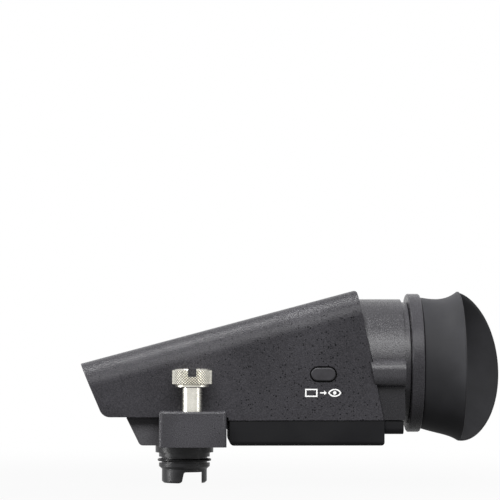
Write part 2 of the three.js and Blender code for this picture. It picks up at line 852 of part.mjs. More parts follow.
// Depths behind the near wall at the push button
const flangeNearY = wallInnerY + seatGap;
const flangeFarY = flangeNearY + buttonFlangeDepth;
const stemEndY = flangeFarY + buttonStemLength;
const plungerY = stemEndY + buttonTravel + seatGap;
const switchFaceY = plungerY + switchPlunger;
const switchBoardY = switchFaceY + switchDepth + seatGap;

function mainHousing() {
  const outer = housingBody(0, [
    [coverLeftX - seatGap, housingFloorZ],
    [coverLeftX - seatGap, sillZ],
  ]);
  const cavity = housingBody(housingWall, [[rearFootX - bayReach, housingFloorZ + housingWall]]);
  const hatch = alongZ(
    rectangle(floorPlateLeftX, rearFootX - bayReach, wallInnerY, -wallInnerY),
    0,
    housingFloorZ + 2 * housingWall,
  );
  const hinge = bay(bayWall, bayHalfWidth + bayWall).intersect(outer);
  const posts = [-switchPostSpread, switchPostSpread].map((z) => alongY(
    disc(buttonX, buttonZ + z, switchPostRadius),
    wallInnerY - housingWall / 2,
    switchBoardY - seatGap,
  ));
  const boardPosts = boardPostPlaces.map(([across, along]) => {
    const height = mainBoardDrop - mainBoardThickness / 2 - seatGap - housingWall / 2;
    const post = new THREE.CylinderGeometry(boardPostRadius, boardPostRadius, height, boreSides)
      .translate(across, -housingWall / 2 - height / 2, along)
      .applyMatrix4(topFrame);
    return solid(post);
  });
  const bosses = coverScrewPlaces.map(([x, y]) => (
    rodAt(x, y, screwBore + bossWall, sillZ, bossTopZ)
  ));
  const bores = coverScrewPlaces.map(([x, y]) => rodAt(x, y, screwBore, 0, coverScrewTopZ + seatGap));
  const bossEndX = coverScrewRearX + screwBore + bossWall;
  const spigotHole = alongX(arch(eyeWall, -overrun), bossEndX, barrelEndX, fineSteps * 3);
  const buttonHole = alongY(
    stadium(buttonX, buttonZ, buttonLength + 2 * buttonClearance, buttonHeight + 2 * buttonClearance),
    -housingHalfWidth - overrun,
    wallInnerY + overrun,
    fineSteps,
  );
  const shell = join(cut(outer, cavity, hatch), hinge, ...bosses);
  return join(
    cut(shell, bay(0, bayHalfWidth), pinCut(bayHalfWidth + overrun), spigotHole, buttonHole, ...bores),
    ...posts,
    ...boardPosts,
  );
}

// Plate that closes the housing over the foot, with a lip down to the lower cover
function frontFloor() {
  const topZ = housingFloorZ + floorPlateThickness;
  const half = -wallInnerY - seatGap;
  return alongY(outline([
    [floorPlateLeftX + seatGap, housingFloorZ],
    [coverLeftX - seatGap, housingFloorZ],
    [coverLeftX - seatGap, sillZ],
    [coverLeftX + coverWall, sillZ],
    [coverLeftX + coverWall, topZ],
    [floorPlateLeftX + seatGap, topZ],
  ]), -half, half);
}

function lowerCover() {
  const side = alongY(outline([
    [coverLeftX, 0, coverFrontRadius],
    [coverRightX, 0, coverRearRadius],
    [coverRightX, coverTopZ],
    [coverLeftX, coverTopZ],
  ]), -coverHalfWidth, coverHalfWidth);
  const section = alongX(outline([
    [-coverHalfWidth, 0, coverEdgeRadius],
    [coverHalfWidth, 0, coverEdgeRadius],
    [coverHalfWidth, coverTopZ],
    [-coverHalfWidth, coverTopZ],
  ]), coverLeftX, coverRightX);
  const inner = coverHalfWidth - coverWall;
  const hollow = alongZ(
    rectangle(coverLeftX + coverWall, coverRightX - coverWall, -inner, inner),
    coverWall,
    coverTopZ + overrun,
  );
  const pillars = coverScrewPlaces.map(([x, y]) => (
    rodAt(x, y, coverScrewHead + bossWall, coverWall / 2, coverTopZ)
  ));
  const seats = lowBoardPostPlaces.map(([x, y]) => (
    rodAt(x, y, boardPostRadius, coverWall / 2, lowBoardZ - seatGap)
  ));
  const bores = coverScrewPlaces.flatMap(([x, y]) => [
    rodAt(x, y, screwBore, -overrun, coverTopZ + overrun),
    rodAt(x, y, coverScrewHead + seatGap, -overrun, coverScrewSink + coverScrewHeadHeight + seatGap),
  ]);
  return cut(join(side.intersect(section).subtract(hollow), ...pillars, ...seats), ...bores);
}

// Rounded side grip of the eyepiece, a little proud of the housing, with its front end along the rear edge
function blister(side) {
  const [bottomZ, topZ] = spread(blisterZ, blisterHeight / 2);
  const section = alongX(outline([
    [side * (recessHalfWidth - eyeWall), bottomZ],
    [side * blisterReach, bottomZ, blisterRounding],
    [side * blisterReach, topZ, blisterRounding],
    [side * (recessHalfWidth - eyeWall), topZ],
  ]), lensBarrelFrontX, barrelEndX, fineSteps);
  const front = line(rearFootX, coverTopZ, Math.PI / 2 + rearLean, blisterLap);
  const shape = alongY(outline([
    [...meet(front, line(0, bottomZ, 0, 0)), blisterNose],
    [barrelEndX, bottomZ],
    [barrelEndX, topZ],
    [...meet(front, line(0, topZ, 0, 0)), blisterNose],
  ]), -blisterReach, blisterReach);
  return section.intersect(shape);
}

// Eyepiece housing: arched shell with a spigot into the main housing, end wall, hub for the eyecup ring and
// socket for the lens barrel
function eyepieceHousing() {
  const footZ = sillZ;
  const sleeve = alongX(arch(0, footZ), lensBarrelFrontX, barrelEndX, fineSteps * 3);
  const spigot = alongX(arch(spigotInset, footZ), lensBarrelFrontX, barrelEndX - endWall, fineSteps * 3)
    .intersect(behindHousing(housingWall + spigotDepth));
  const wideRoom = alongX(arch(eyeWall, -overrun), lensBarrelFrontX, cavityEndX, fineSteps * 3)
    .intersect(behindHousing(-seatGap - eyeWall));
  const narrowRoom = alongX(
    arch(spigotInset + spigotWall, -overrun),
    lensBarrelFrontX,
    cavityEndX,
    fineSteps * 3,
  );
  const outside = join(sleeve, blister(-1), blister(1)).subtract(aheadOfEyepiece());
  const neck = eyeRod(neckRadius, barrelEndX - seatGap / 2, neckEndX);
  const hub = eyeTube(hubBore, hubRadius, neckEndX - endWall / 2, hubEndX);
  const socket = eyeTube(
    lensBarrelRadius + seatGap,
    socketRadius,
    cavityEndX - socketDepth,
    cavityEndX + endWall / 2,
  );
  const windowHole = eyeRod(windowRadius + seatGap, cavityEndX - overrun, hubEndX);
  const sensorHole = alongX(
    rectangle(
      -sensorWidth / 2 - seatGap,
      sensorWidth / 2 + seatGap,
      sensorZ - sensorHeight / 2 - seatGap,
      sensorZ + sensorHeight / 2 + seatGap,
    ),
    neckEndX - sensorDepth,
    hubEndX,
  );
  const shaftHole = alongY(
    disc(dialX, dialZ, dialShaftRadius + seatGap),
    dialCrankY,
    blisterReach,
    boreSides / 2,
  );
  const shell = cut(join(outside, spigot, neck), wideRoom, narrowRoom);
  return cut(join(shell, hub, socket.subtract(lugRoom())), windowHole, sensorHole, shaftHole);
}

// Room that the lens carriage's lug sweeps beside the lens barrel
const lugRoom = () => alongX(
  rectangle(lugInnerY - runGap, recessHalfWidth - eyeWall, lugBottomZ - runGap, lugTopZ + runGap),
  dialX - lugHalfLength - carriageTravel - runGap,
  cavityEndX,
);

function eyepieceBottomCover() {
  const [left, right] = [coverRightX + seatGap, barrelEndX - seatGap - seatGap / 2];
  const half = eyeCoverHalfWidth;
  const wall = eyeCoverWall;
  const body = alongX(outline([
    [-half, eyeCoverBottomZ, eyeCoverRadius],
    [half, eyeCoverBottomZ, eyeCoverRadius],
    [half, coverTopZ],
    [-half, coverTopZ],
  ]), left, right, fineSteps);
  const room = alongX(
    rectangle(wall - half, half - wall, eyeCoverBottomZ + wall, coverTopZ + overrun),
    left + wall,
    right - wall,
  );
  return body.subtract(room);
}

// Point on the rubber eyecup in the eyepiece's own frame, where Z runs along the optical axis and -X is up.
// The share runs from the ring to the rim, the angle from the top round the far side.
function cupPoint(share, angle, inset) {
  const turn = (angle - wingTurn) / Math.PI;
  const wing = turn > 0 && turn < 1 ? Math.sin(Math.PI * turn) ** wingPower : 0;
  const flare = (cupFlare + wingFlare * wing) * share ** cupFlarePower;
  const middle = Math.sin(Math.PI * share);
  const radius = cupNeckRadius + flare + cupBelly * middle - inset;
  return new THREE.Vector3(
    cupDroop * share + cupSag * middle - radius * Math.cos(angle),
    radius * Math.sin(angle),
    cupStartX + (cupRimX - cupStartX + wingReach * wing) * share,
  );
}

// Rubber eyecup with its wing at the far side
function eyecup() {
  const ring = (pointAt) => Array.from({ length: cupSides }, (_, i) => pointAt(2 * Math.PI * i / cupSides));
  const flat = (radius, height) => (angle) => (
    new THREE.Vector3(-radius * Math.cos(angle), radius * Math.sin(angle), height)
  );
  const outside = Array.from({ length: cupSteps + 1 }, (_, step) => (
    ring((angle) => cupPoint(step / cupSteps, angle, 0))
  ));
  const inside = Array.from({ length: cupSteps - 1 }, (_, step) => (
    ring((angle) => cupPoint(1 - step / cupSteps, angle, cupWall))
  ));
  const seatZ = cupStartX + cupBaseThickness;
  return skin([
    ...outside,
    ...inside,
    ring(flat(cupNeckRadius - cupWall, seatZ)),
    ring(flat(cupBaseBore, seatZ)),
    ring(flat(cupBaseBore, cupStartX)),
  ]);
}

// Planar ring that carries the eyecup and turns on the hub
function eyecupRing() {
  const frontX = neckEndX + seatGap;
  return turned([
    [hubRadius + seatGap, frontX],
    [ringRadius - ringEdge, frontX],
    [ringRadius, frontX + ringEdge],
    [ringRadius, ringEndX - ringEdge],
    [ringRadius - ringEdge, ringEndX],
    [hubBore + seatGap, ringEndX],
    [hubBore + seatGap, hubEndX + seatGap],
    [hubRadius + seatGap, hubEndX + seatGap],
    [hubRadius + seatGap, frontX],
  ], rimSides);
}

// Oval push button with softened edges, retaining flange and stem
function pushButton() {
  const cap = new THREE.ExtrudeGeometry(stadium(buttonX, buttonZ, buttonLength, buttonHeight), {
    depth: housingWall + buttonProud + seatGap - buttonDome,
    bevelThickness: buttonDome,
    bevelSize: buttonDome,
    bevelOffset: -buttonDome,
    bevelSegments: coarseSteps,
    curveSegments: fineSteps,
  });
  cap.rotateX(Math.PI / 2).translate(0, flangeNearY + buttonDome, 0);
  const flange = alongY(
    stadium(buttonX, buttonZ, buttonLength + 2 * buttonFlange, buttonHeight + 2 * buttonFlange),
    flangeNearY,
    flangeFarY,
    fineSteps,
  );
  const stem = alongY(
    disc(buttonX, buttonZ, buttonStemRadius),
    flangeFarY - seatGap,
    stemEndY,
    boreSides / 2,
  );
  return join(solid(cap), flange, stem);
}

function tactSwitch() {
  const half = switchSize / 2;
  const body = alongY(
    rectangle(buttonX - half, buttonX + half, buttonZ - half, buttonZ + half),
    switchFaceY,
    switchFaceY + switchDepth,
  );
  const plunger = disc(buttonX, buttonZ, buttonStemRadius + switchPlunger);
  return body.add(alongY(plunger, plungerY, switchFaceY + seatGap, boreSides / 2));
}

function switchBoard() {
  const [halfWidth, halfHeight] = [switchBoardWidth / 2, switchBoardHeight / 2];
  return alongY(
    rectangle(buttonX - halfWidth, buttonX + halfWidth, buttonZ - halfHeight, buttonZ + halfHeight),
    switchBoardY,
    switchBoardY + switchBoardThickness,
  );
}

// Lens about its own middle, domed on both faces
function lens(radius, edge, bulge) {
  const above = lensShares.map((share) => [radius * share, edge / 2 + bulge * (1 - share ** 2)]);
  const below = above.map(([across, up]) => [across, -up]).reverse();
  return turned([[0, -edge / 2 - bulge], ...below, ...above, [0, edge / 2 + bulge]], innerSides);
}

function lensBarrel() {
  const endX = cavityEndX - seatGap;
  return cut(
    eyeTube(lensBarrelLipBore, lensBarrelRadius, lensBarrelFrontX, endX, innerSides),
    eyeRod(lensBarrelBore, lensBarrelFrontX + lensBarrelLip, endX + overrun, innerSides),
    lugRoom(),
  );
}

// Sliding ring with two lens seats and the slotted lug that follows the dial's crank pin
function lensCarriage() {
  const frontX = carriageX - carriageLength / 2;
  const bore = carriageRadius - carriageWall;
  const body = eyeTube(carriageLipBore, carriageRadius, frontX, frontX + carriageLength, innerSides);
  const seat = eyeRod(bore, frontX + carriageLip, frontX + carriageLength + overrun, innerSides);
  const lug = alongX(
    rectangle(lugInnerY, lugOuterY, lugBottomZ, lugTopZ),
    dialX - lugHalfLength,
    dialX + lugHalfLength,
  ).subtract(eyeRod(bore + carriageWall / 2, frontX, dialX + carriageLength, innerSides));
  const pinSlot = alongY(
    rectangle(
      dialX - dialPinRadius - dialPinPlay,
      dialX + dialPinRadius + dialPinPlay,
      lugBottomZ + lugWall,
      lugTopZ - lugWall,
    ),
    dialCrankY - dialPinLength - seatGap,
    lugOuterY + overrun,
  );
  return cut(join(body.subtract(seat), lug), pinSlot);
}

// Dial about its own axis: fluted knob, shaft, crank disc and crank pin
function dioptreDial() {
  const count = 2 * dialFlutes;
  const flutes = Array.from({ length: count }, (_, i) => {
    const angle = 2 * Math.PI * i / count;
    const radius = dialRadius - dialFluteDepth * (i % 2);
    return [radius * Math.cos(angle), radius * Math.sin(angle)];
  });
  const seatY = recessHalfWidth + seatGap;
  const knob = alongZ(outline(flutes), seatY, seatY + dialProud);
  const shaft = rod(dialShaftRadius, dialCrankY + dialCrankThickness / 2, seatY + dialProud / 2);
  const crank = rod(dialCrankRadius, dialCrankY, dialCrankY + dialCrankThickness);
  const pin = rodAt(0, -dialPinReach, dialPinRadius, dialCrankY - dialPinLength, dialCrankY + seatGap);
  return join(knob, shaft, crank, pin);
}

const boxOf = (length, width, height) => solid(new THREE.BoxGeometry(length, width, height));

function displayFrame() {
  const plate = boxOf(displayFrameDepth, displayFrameSize, displayFrameSize);
  const aperture = boxOf(displayFrameDepth + overrun, displayWidth - runGap, displayHeight - runGap);
  return plate.subtract(aperture);
}

// Foot: fixed to the camera by the thumb screw and the contact plug
const foot = new THREE.Group();
const pin = piece('hinge_pin', rod(pinRadius, -pinHalfLength, pinHalfLength), steel);
pin.rotation.x = Math.PI / 2;
foot.add(
  piece('hinge_base', hingeBase(), footGrey),
  piece('clamp_block', clampBlock(), footGrey),
  piece('plug_shell', plugShell(), smoothBlack),
  piece('plug_insert', plugInsert(), smoothBlack),
  place(
    piece('plug_o_ring', solid(new THREE.TorusGeometry(
      ringOuterRadius - ringSection,
      ringSection,
      boreSides / 2,
      rimSides,
    )), softBlack),
    0,
    0,
    ringGrooveTopZ - ringGrooveWidth / 2,
  ),
  place(pin, tiltX, 0, tiltZ),
);
['near', 'far'].forEach((side, i) => {
  const ring = piece(
    `hinge_washer_${side}`,
    tube(pinRadius + seatGap, knuckleRadius - seatGap, -hingeWasher / 2, hingeWasher / 2, boreSides),
    brass,
  );
  ring.rotation.x = Math.PI / 2;
  foot.add(place(ring, tiltX, (2 * i - 1) * (knuckleHalfWidth + seatGap + hingeWasher / 2), tiltZ));
});
blockScrewPlaces.forEach(([x, y], i) => {
  const screw = screwShape(
    blockScrewRadius,
    blockScrewHead,
    blockScrewHeadHeight,
    blockScrewLength,
    blockScrewSink,
  );
  foot.add(place(piece(`block_screw_${i + 1}`, screw, steel), x, y, 0));
});

// Thumb screw with the washer that keeps it in its block
const clamp = new THREE.Group();
clamp.position.set(screwX, screwY, 0);
clamp.add(
  piece('thumb_screw', thumbScrew(), nickel),
  piece('captive_washer', tube(
    grooveRadius + seatGap,
    washerRadius,
    washerZ - washerWidth / 2,
    washerZ + washerWidth / 2,
    boreSides,
  ), steel),
);

// Head: housing, covers and what they hold
const head = new THREE.Group();
head.add(
  piece('main_housing', mainHousing(), moulded),
  piece('front_floor', frontFloor(), smoothBlack),
  piece('lower_cover', lowerCover(), smoothBlack),
  piece('eyepiece_housing', eyepieceHousing(), moulded),
  piece('eyepiece_bottom_cover', eyepieceBottomCover(), smoothBlack),
  piece('vf_button', pushButton(), moulded),
  piece('tact_switch', tactSwitch(), steel),
  piece('switch_board', switchBoard(), board),
);
coverScrewPlaces.forEach(([x, y], i) => {
  const screw = screwShape(
    coverScrewShank,
    coverScrewHead,
    coverScrewHeadHeight,
    coverScrewLength,
    coverScrewSink,
  );
  head.add(place(piece(`cover_screw_${i + 1}`, screw, steel), x, y, 0));
});

// Boards: the main one hangs under the sloped top, the low one stands in the lower cover
const mainBoard = new THREE.Group();
mainBoard.position.set(0, -mainBoardDrop, mainBoardAlong).applyMatrix4(topFrame);
mainBoard.rotation.y = -topSlope;
const processor = piece('processor', boxOf(chipSize, chipSize, chipThickness), chip);
mainBoard.add(
  piece('main_board', boxOf(mainBoardLength, mainBoardWidth, mainBoardThickness), board),
  place(processor, 0, 0, -mainBoardThickness / 2 - seatGap - chipThickness / 2),
);
const lowBoard = piece('interface_board', boxOf(lowBoardLength, lowBoardWidth, lowBoardThickness), board);
head.add(mainBoard, place(lowBoard, lowBoardX, 0, lowBoardZ + lowBoardThickness / 2));

// Optics on the optical axis
const frameX = lensBarrelFrontX - seatGap - displayFrameDepth / 2;
const panelX = frameX - displayFrameDepth / 2 - seatGap - displayThickness / 2;
const lensDepth = lensEdge + 2 * lensDomeHeight;
const lensRadius = carriageRadius - carriageWall - seatGap;
const firstLensX = carriageX - (lensDepth + seatGap) / 2 + carriageLip / 2;
const fieldLensX = lensBarrelFrontX + lensBarrelLip + seatGap + fieldLensCentre / 2;
const sensor = piece('eye_sensor', boxOf(sensorDepth, sensorWidth, sensorHeight), glass);
const optics = new THREE.Group();
optics.position.z = opticZ;
const axis = new THREE.Group();
axis.rotation.y = Math.PI / 2;
const fieldLens = lens(lensBarrelBore - seatGap, fieldLensEdge, (fieldLensCentre - fieldLensEdge) / 2);
const lenses = [
  ['field_lens', fieldLens, fieldLensX],
  ['eyepiece_lens_1', lens(lensRadius, lensEdge, lensDomeHeight), firstLensX],
  ['eyepiece_lens_2', lens(lensRadius, lensEdge, lensDomeHeight), firstLensX + lensDepth + seatGap],
  ['protective_window', rod(windowRadius, -windowThickness / 2, windowThickness / 2, rimSides), windowX],
];
lenses.forEach(([name, body, x]) => axis.add(place(piece(name, body, glass), 0, 0, x)));
axis.add(
  piece('eyecup_ring', eyecupRing(), moulded),
  piece('eyecup', eyecup(), softBlack),
);
optics.add(
  axis,
  place(piece('display_frame', displayFrame(), smoothBlack), frameX, 0, 0),
  place(piece('display_panel', boxOf(displayThickness, displayWidth, displayHeight), glass), panelX, 0, 0),
  place(sensor, neckEndX - sensorDepth / 2 + seatGap, 0, sensorZ - opticZ),
);
head.add(
  optics,
  piece('lens_barrel', lensBarrel(), smoothBlack),
  piece('lens_carriage', lensCarriage(), smoothBlack),
);
const dial = piece('dioptre_dial', dioptreDial(), moulded);
dial.rotation.x = -Math.PI / 2;
head.add(place(dial, dialX, 0, dialZ));

const viewfinder = new THREE.Group();
viewfinder.add(foot, clamp, head);
export default viewfinder;
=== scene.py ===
import math

import bmesh
import bpy
from mathutils import Matrix, Vector


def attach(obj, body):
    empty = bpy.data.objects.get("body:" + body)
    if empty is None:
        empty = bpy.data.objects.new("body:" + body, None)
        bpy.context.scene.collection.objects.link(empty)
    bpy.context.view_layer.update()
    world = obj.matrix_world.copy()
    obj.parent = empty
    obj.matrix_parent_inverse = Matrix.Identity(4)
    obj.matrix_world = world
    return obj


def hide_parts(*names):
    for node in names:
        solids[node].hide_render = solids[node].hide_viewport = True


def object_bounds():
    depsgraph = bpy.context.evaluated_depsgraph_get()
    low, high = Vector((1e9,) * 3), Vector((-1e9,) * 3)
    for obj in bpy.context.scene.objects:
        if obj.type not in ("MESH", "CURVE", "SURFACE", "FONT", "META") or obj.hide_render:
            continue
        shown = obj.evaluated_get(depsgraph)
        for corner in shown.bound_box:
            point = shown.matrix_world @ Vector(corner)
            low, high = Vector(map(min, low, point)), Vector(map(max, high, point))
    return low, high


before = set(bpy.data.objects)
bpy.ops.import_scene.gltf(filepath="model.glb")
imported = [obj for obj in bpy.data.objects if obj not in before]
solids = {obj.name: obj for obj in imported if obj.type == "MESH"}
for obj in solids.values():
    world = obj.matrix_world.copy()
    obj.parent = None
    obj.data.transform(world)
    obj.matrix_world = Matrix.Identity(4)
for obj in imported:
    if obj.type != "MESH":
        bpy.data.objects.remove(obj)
cad_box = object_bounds()
scene = bpy.context.scene
scene.view_settings.view_transform = "Standard"

# Camera: level with the middle of the casing, in front of its near side, and aimed a little above it,
# so that the object stands in the lower half of the frame. It is far enough away for the sides of the
# clamp block and the eyecup to show as little as they do in a catalogue picture.
camera_place, camera_aim = Vector((0.00015, -0.7667, 0.0310)), Vector((0.0218, 0, 0.0643))
focal_length, sensor_width = 165.6, 36
camera = bpy.data.objects.new("camera", bpy.data.cameras.new("camera"))
scene.collection.objects.link(camera)
camera.data.lens = focal_length
camera.data.sensor_width = sensor_width
camera.data.clip_start = 0.05
camera.data.clip_end = 30
camera.location = camera_place
camera.rotation_mode = "QUATERNION"
camera.rotation_quaternion = (camera_aim - camera_place).to_track_quat("-Z", "Y")
scene.camera = camera

# Studio: a pale floor under the plug, a white surround and soft lamps, with a narrow strip overhead
# that draws the bright band along the casing's rounded top edge.


def wire(made, values):
    """Sets a node's sockets: a number or colour straight on the socket, a signal by a link."""
    for name, value in dict(values).items():
        if isinstance(value, Signal):
            value.tree.links.new(value.socket, made.inputs[name])
        else:
            made.inputs[name].default_value = value


class Signal:
    """One output of a material's nodes. A sum written with it adds the Math nodes that work it out."""

    def __init__(self, tree, socket=None):
        self.tree = tree
        self.socket = socket

    def node(self, kind, settings=(), inputs=(), output=0):
        """Adds a node: first its settings, then its sockets' values or links."""
        made = self.tree.nodes.new("ShaderNode" + kind)
        for name, value in dict(settings).items():
            setattr(made, name, value)
        wire(made, inputs)
        return Signal(self.tree, made.outputs[output] if made.outputs else None)

    def maths(self, operation, first, second):
        return self.node("Math", {"operation": operation}, {0: first, 1: second})

    def __add__(self, other):
        return self.maths("ADD", self, other)

    def __sub__(self, other):
        return self.maths("SUBTRACT", self, other)

    def __rsub__(self, other):
        return self.maths("SUBTRACT", other, self)

    def __mul__(self, other):
        return self.maths("MULTIPLY", self, other)

    __radd__ = __add__
    __rmul__ = __mul__

    def between(self, low, high):
        """0 below low, 1 above high, and smooth between them."""
        steps = {"interpolation_type": "SMOOTHSTEP"}
        return self.node("MapRange", steps, {"Value": self, "From Min": low, "From Max": high})


world = bpy.data.worlds.new("studio")
scene.world = world
world.use_nodes = True
world.node_tree.nodes.clear()
air = Signal(world.node_tree)
seen = air.node("LightPath", output="Is Camera Ray")
for ray in ("Is Glossy Ray", "Is Transmission Ray"):
    seen = seen + air.node("LightPath", output=ray)
white, fill_strength = (1, 1, 1, 1), 0.03
fill = air.node("Background", inputs={"Color": white, "Strength": fill_strength})
surround = air.node("Background", inputs={"Color": white, "Strength": 1.0})
both = air.node("MixShader", inputs={0: seen.between(0.0, 1.0), 1: fill, 2: surround})
air.node("OutputWorld", inputs={"Surface": both})

floor_half_width, floor_gap = 3, 0.0002
work = bmesh.new()
bmesh.ops.create_grid(work, x_segments=1, y_segments=1, size=floor_half_width)
bmesh.ops.translate(work, verts=work.verts, vec=(0, 0, cad_box[0].z - floor_gap))
floor_mesh = bpy.data.meshes.new("floor")
work.to_mesh(floor_mesh)
work.free()
floor = bpy.data.objects.new("floor", floor_mesh)
scene.collection.objects.link(floor)
pale = bpy.data.materials.new("pale_floor")
pale.use_nodes = True
pale.node_tree.nodes.clear()
ground = Signal(pale.node_tree)
shade = ground.node("BsdfDiffuse", inputs={"Color": (0.08, 0.08, 0.08, 1)})
glow = ground.node("Emission", inputs={"Color": white, "Strength": 1.0})
spot = ground.node("TexCoord", output="Object")
far = ground.node("VectorMath", {"operation": "LENGTH"}, {0: spot}, output="Value").between(0.06, 0.35)
glow_near, glow_mirrored = 0.86, 0.5
direct = ground.node("LightPath", output="Is Camera Ray") * (glow_near + (1 - glow_near) * far)
mirrored = glow_mirrored * ground.node("LightPath", output="Is Glossy Ray")
through = ground.node("LightPath", output="Is Transmission Ray")
glowing = (direct + (mirrored + through)).between(0, 1)
surface = ground.node("MixShader", inputs={0: glowing, 1: shade, 2: glow})
ground.node("OutputMaterial", inputs={"Surface": surface})
floor_mesh.materials.append(pale)


def lamp(name, place, aim, width, height, power, in_gloss=True):
    """A soft box: a flat lamp of that size that faces its aim. It can be kept out of reflections."""
    light = bpy.data.lights.new(name, "AREA")
    light.shape = "RECTANGLE"
    light.size = width
    light.size_y = height
    light.energy = power
    soft_box = bpy.data.objects.new(name, light)
    soft_box.location = place
    soft_box.rotation_mode = "QUATERNION"
    soft_box.rotation_quaternion = (Vector(aim) - Vector(place)).to_track_quat("-Z", "Y")
    soft_box.visible_glossy = in_gloss
    scene.collection.objects.link(soft_box)


lamp("front_top", (0.05, -0.93, 0.74), aim=(0.03, 0, 0.03), width=0.90, height=0.50, power=18.0)
lamp("overhead", (-0.20, -0.06, 0.88), aim=(0.02, 0, 0.03), width=0.45, height=0.06, power=8.5)
lamp("left_side", (-0.90, -0.10, 0.25), aim=(0, 0, 0.02), width=0.20, height=0.50, power=9.0)
lamp("right_side", (0.85, -0.35, 0.25), aim=(0, 0, 0.02), width=0.20, height=0.50, power=1.2)
lamp("behind", (0.10, 0.95, 0.50), aim=(0.03, 0, 0.03), width=0.90, height=0.50, power=12.0, in_gloss=False)

# Casing: the wedge that holds the electronics, moulded in one piece and sprayed with a fine dark grey
# paint that leaves black pin specks and a slight orange peel.
MM = 0.001


def new_finish(name):
    """An empty material, the place on the piece in its own axes, and its shader."""
    finish = bpy.data.materials.new(name)
    finish.use_nodes = True
    shader = finish.node_tree.nodes["Principled BSDF"]
    place = Signal(finish.node_tree).node("TexCoord", output="Object")
    return finish, place, shader


def mixed(factor, first, second):
    """A colour between two others, by the factor."""
    return factor.node("Mix", {"data_type": "RGBA"}, {0: factor, 6: first, 7: second}, output=2)


def coordinate(place, axis):
    """The place's own X, Y or Z, in metres."""
    return place.node("SeparateXYZ", inputs={"Vector": place}, output=axis)


def noise(place, scale, detail, roughness=0.5):
    """Cloudy noise with about so many spots to the metre, broken up further by its detail."""
    grains = {"Vector": place, "Scale": scale, "Detail": detail, "Roughness": roughness}
    return place.node("TexNoise", inputs=grains)


def bumped(strength, depth, height):
    """The surface raised and sunk by a height, up to a depth in metres."""
    return height.node("Bump", inputs={"Strength": strength, "Distance": depth, "Height": height})


def sprayed(name, colour, specks, grain, gloss=0.14, painted_shade_below=None):
    """Dark sprayed paint on a moulding: fine orange peel, a faint cloud and black specks of all sizes.
    Below a height its colour can be darkened towards black, as painted shade."""
    finish, place, shader = new_finish(name)
    speck_scale, fog_scale, peel_scale = 1350, 45, 3000
    cell = {"Vector": place, "Scale": speck_scale, "Randomness": 1.0}
    away = place.node("TexVoronoi", {"feature": "F1"}, cell, output="Distance")
    tint = place.node("TexVoronoi", {"feature": "F1"}, cell, output="Color")
    chance = place.node("SeparateColor", inputs={"Color": tint}, output="Red")
    # A cell of low chance has no speck, and the specks get smaller towards the front.
    low_chance, front_size, soft_rim, speck_cover = 0.6, 0.55, 0.03, 0.9
    size = front_size + (1 - front_size) * coordinate(place, "X").between(-20 * MM, 30 * MM)
    radius = (chance * (1 + low_chance) - low_chance) * size * specks
    speck = (radius - away).between(-soft_rim, soft_rim)
    fog = noise(place, fog_scale, 3.0)
    peel = noise(place, peel_scale, 2.0, roughness=0.6)
    fog_share, darker, lighter = 0.3, 0.62, 1.45
    shade = fog.between(0.35, 0.65) * fog_share + peel.between(0.30, 0.70) * (1 - fog_share)
    tone = mixed(shade, [darker * part for part in colour] + [1], [lighter * part for part in colour] + [1])
    # Painted shade: below the height the colour is mixed towards black.
    if painted_shade_below:
        least_lit_share, painted_shade_black = 0.35, (0.004, 0.004, 0.005, 1)
        lit_above = coordinate(place, "Z").between(painted_shade_below - 1.2 * MM, painted_shade_below + 0.3 * MM)
        tone = mixed(least_lit_share + (1 - least_lit_share) * lit_above, painted_shade_black, tone)
    tone = mixed(speck * speck_cover, tone, (0.003, 0.003, 0.004, 1))
    wire(shader, {
        "Base Color": tone,
        "Roughness": 0.20 + 0.14 * peel,
        "Normal": bumped(grain, 0.16 * MM, peel - speck * 0.3),
        "Specular IOR Level": gloss,
    })
    return finish


def hand_over(work, name, body, slot, finish, *stands_for, crease=33):
    """Makes a finished shape a piece that rides on a body and is shown in place of CAD solids. An edge
    that turns more than the crease, in degrees, stays sharp."""
    for face in work.faces:
        face.smooth = True
    for edge in work.edges:
        edge.smooth = len(edge.link_faces) == 2 and edge.calc_face_angle() < math.radians(crease)
    mesh = bpy.data.meshes.new(name)
    work.to_mesh(mesh)
    work.free()
    mesh.materials.append(finish)
    piece = bpy.data.objects.new(name, mesh)
    scene.collection.objects.link(piece)
    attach(piece, body)
    if stands_for:
        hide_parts(*stands_for)
    flat_faces = piece.modifiers.new("flat_faces", "WEIGHTED_NORMAL")
    flat_faces.keep_sharp = True


def softened(node, edge_radius, segments=2):
    """A merged copy of a CAD solid with whole flat faces and its sharp edges broken by a small radius."""
    merge_within, flat_within, sharp_from = 0.002 * MM, math.radians(0.8), math.radians(38)
    work = bmesh.new()
    work.from_mesh(solids[node].data)
    bmesh.ops.remove_doubles(work, verts=work.verts, dist=merge_within)
    bmesh.ops.dissolve_limit(work, angle_limit=flat_within, verts=work.verts, edges=work.edges)
    sharp = [e for e in work.edges if len(e.link_faces) == 2 and e.calc_face_angle() > sharp_from]
    bmesh.ops.bevel(
        work, geom=sharp, offset=edge_radius, offset_type="OFFSET", segments=segments, profile=0.5,
        affect="EDGES", clamp_overlap=True, material=-1,
    )
    return work


casing_paint = sprayed("casing_paint", (0.034, 0.033, 0.037), specks=0.42, grain=0.6, gloss=0.10)
hand_over(
    softened("main_housing", 0.25 * MM), "casing", "head", "moulded_body", casing_paint, "main_housing"
)

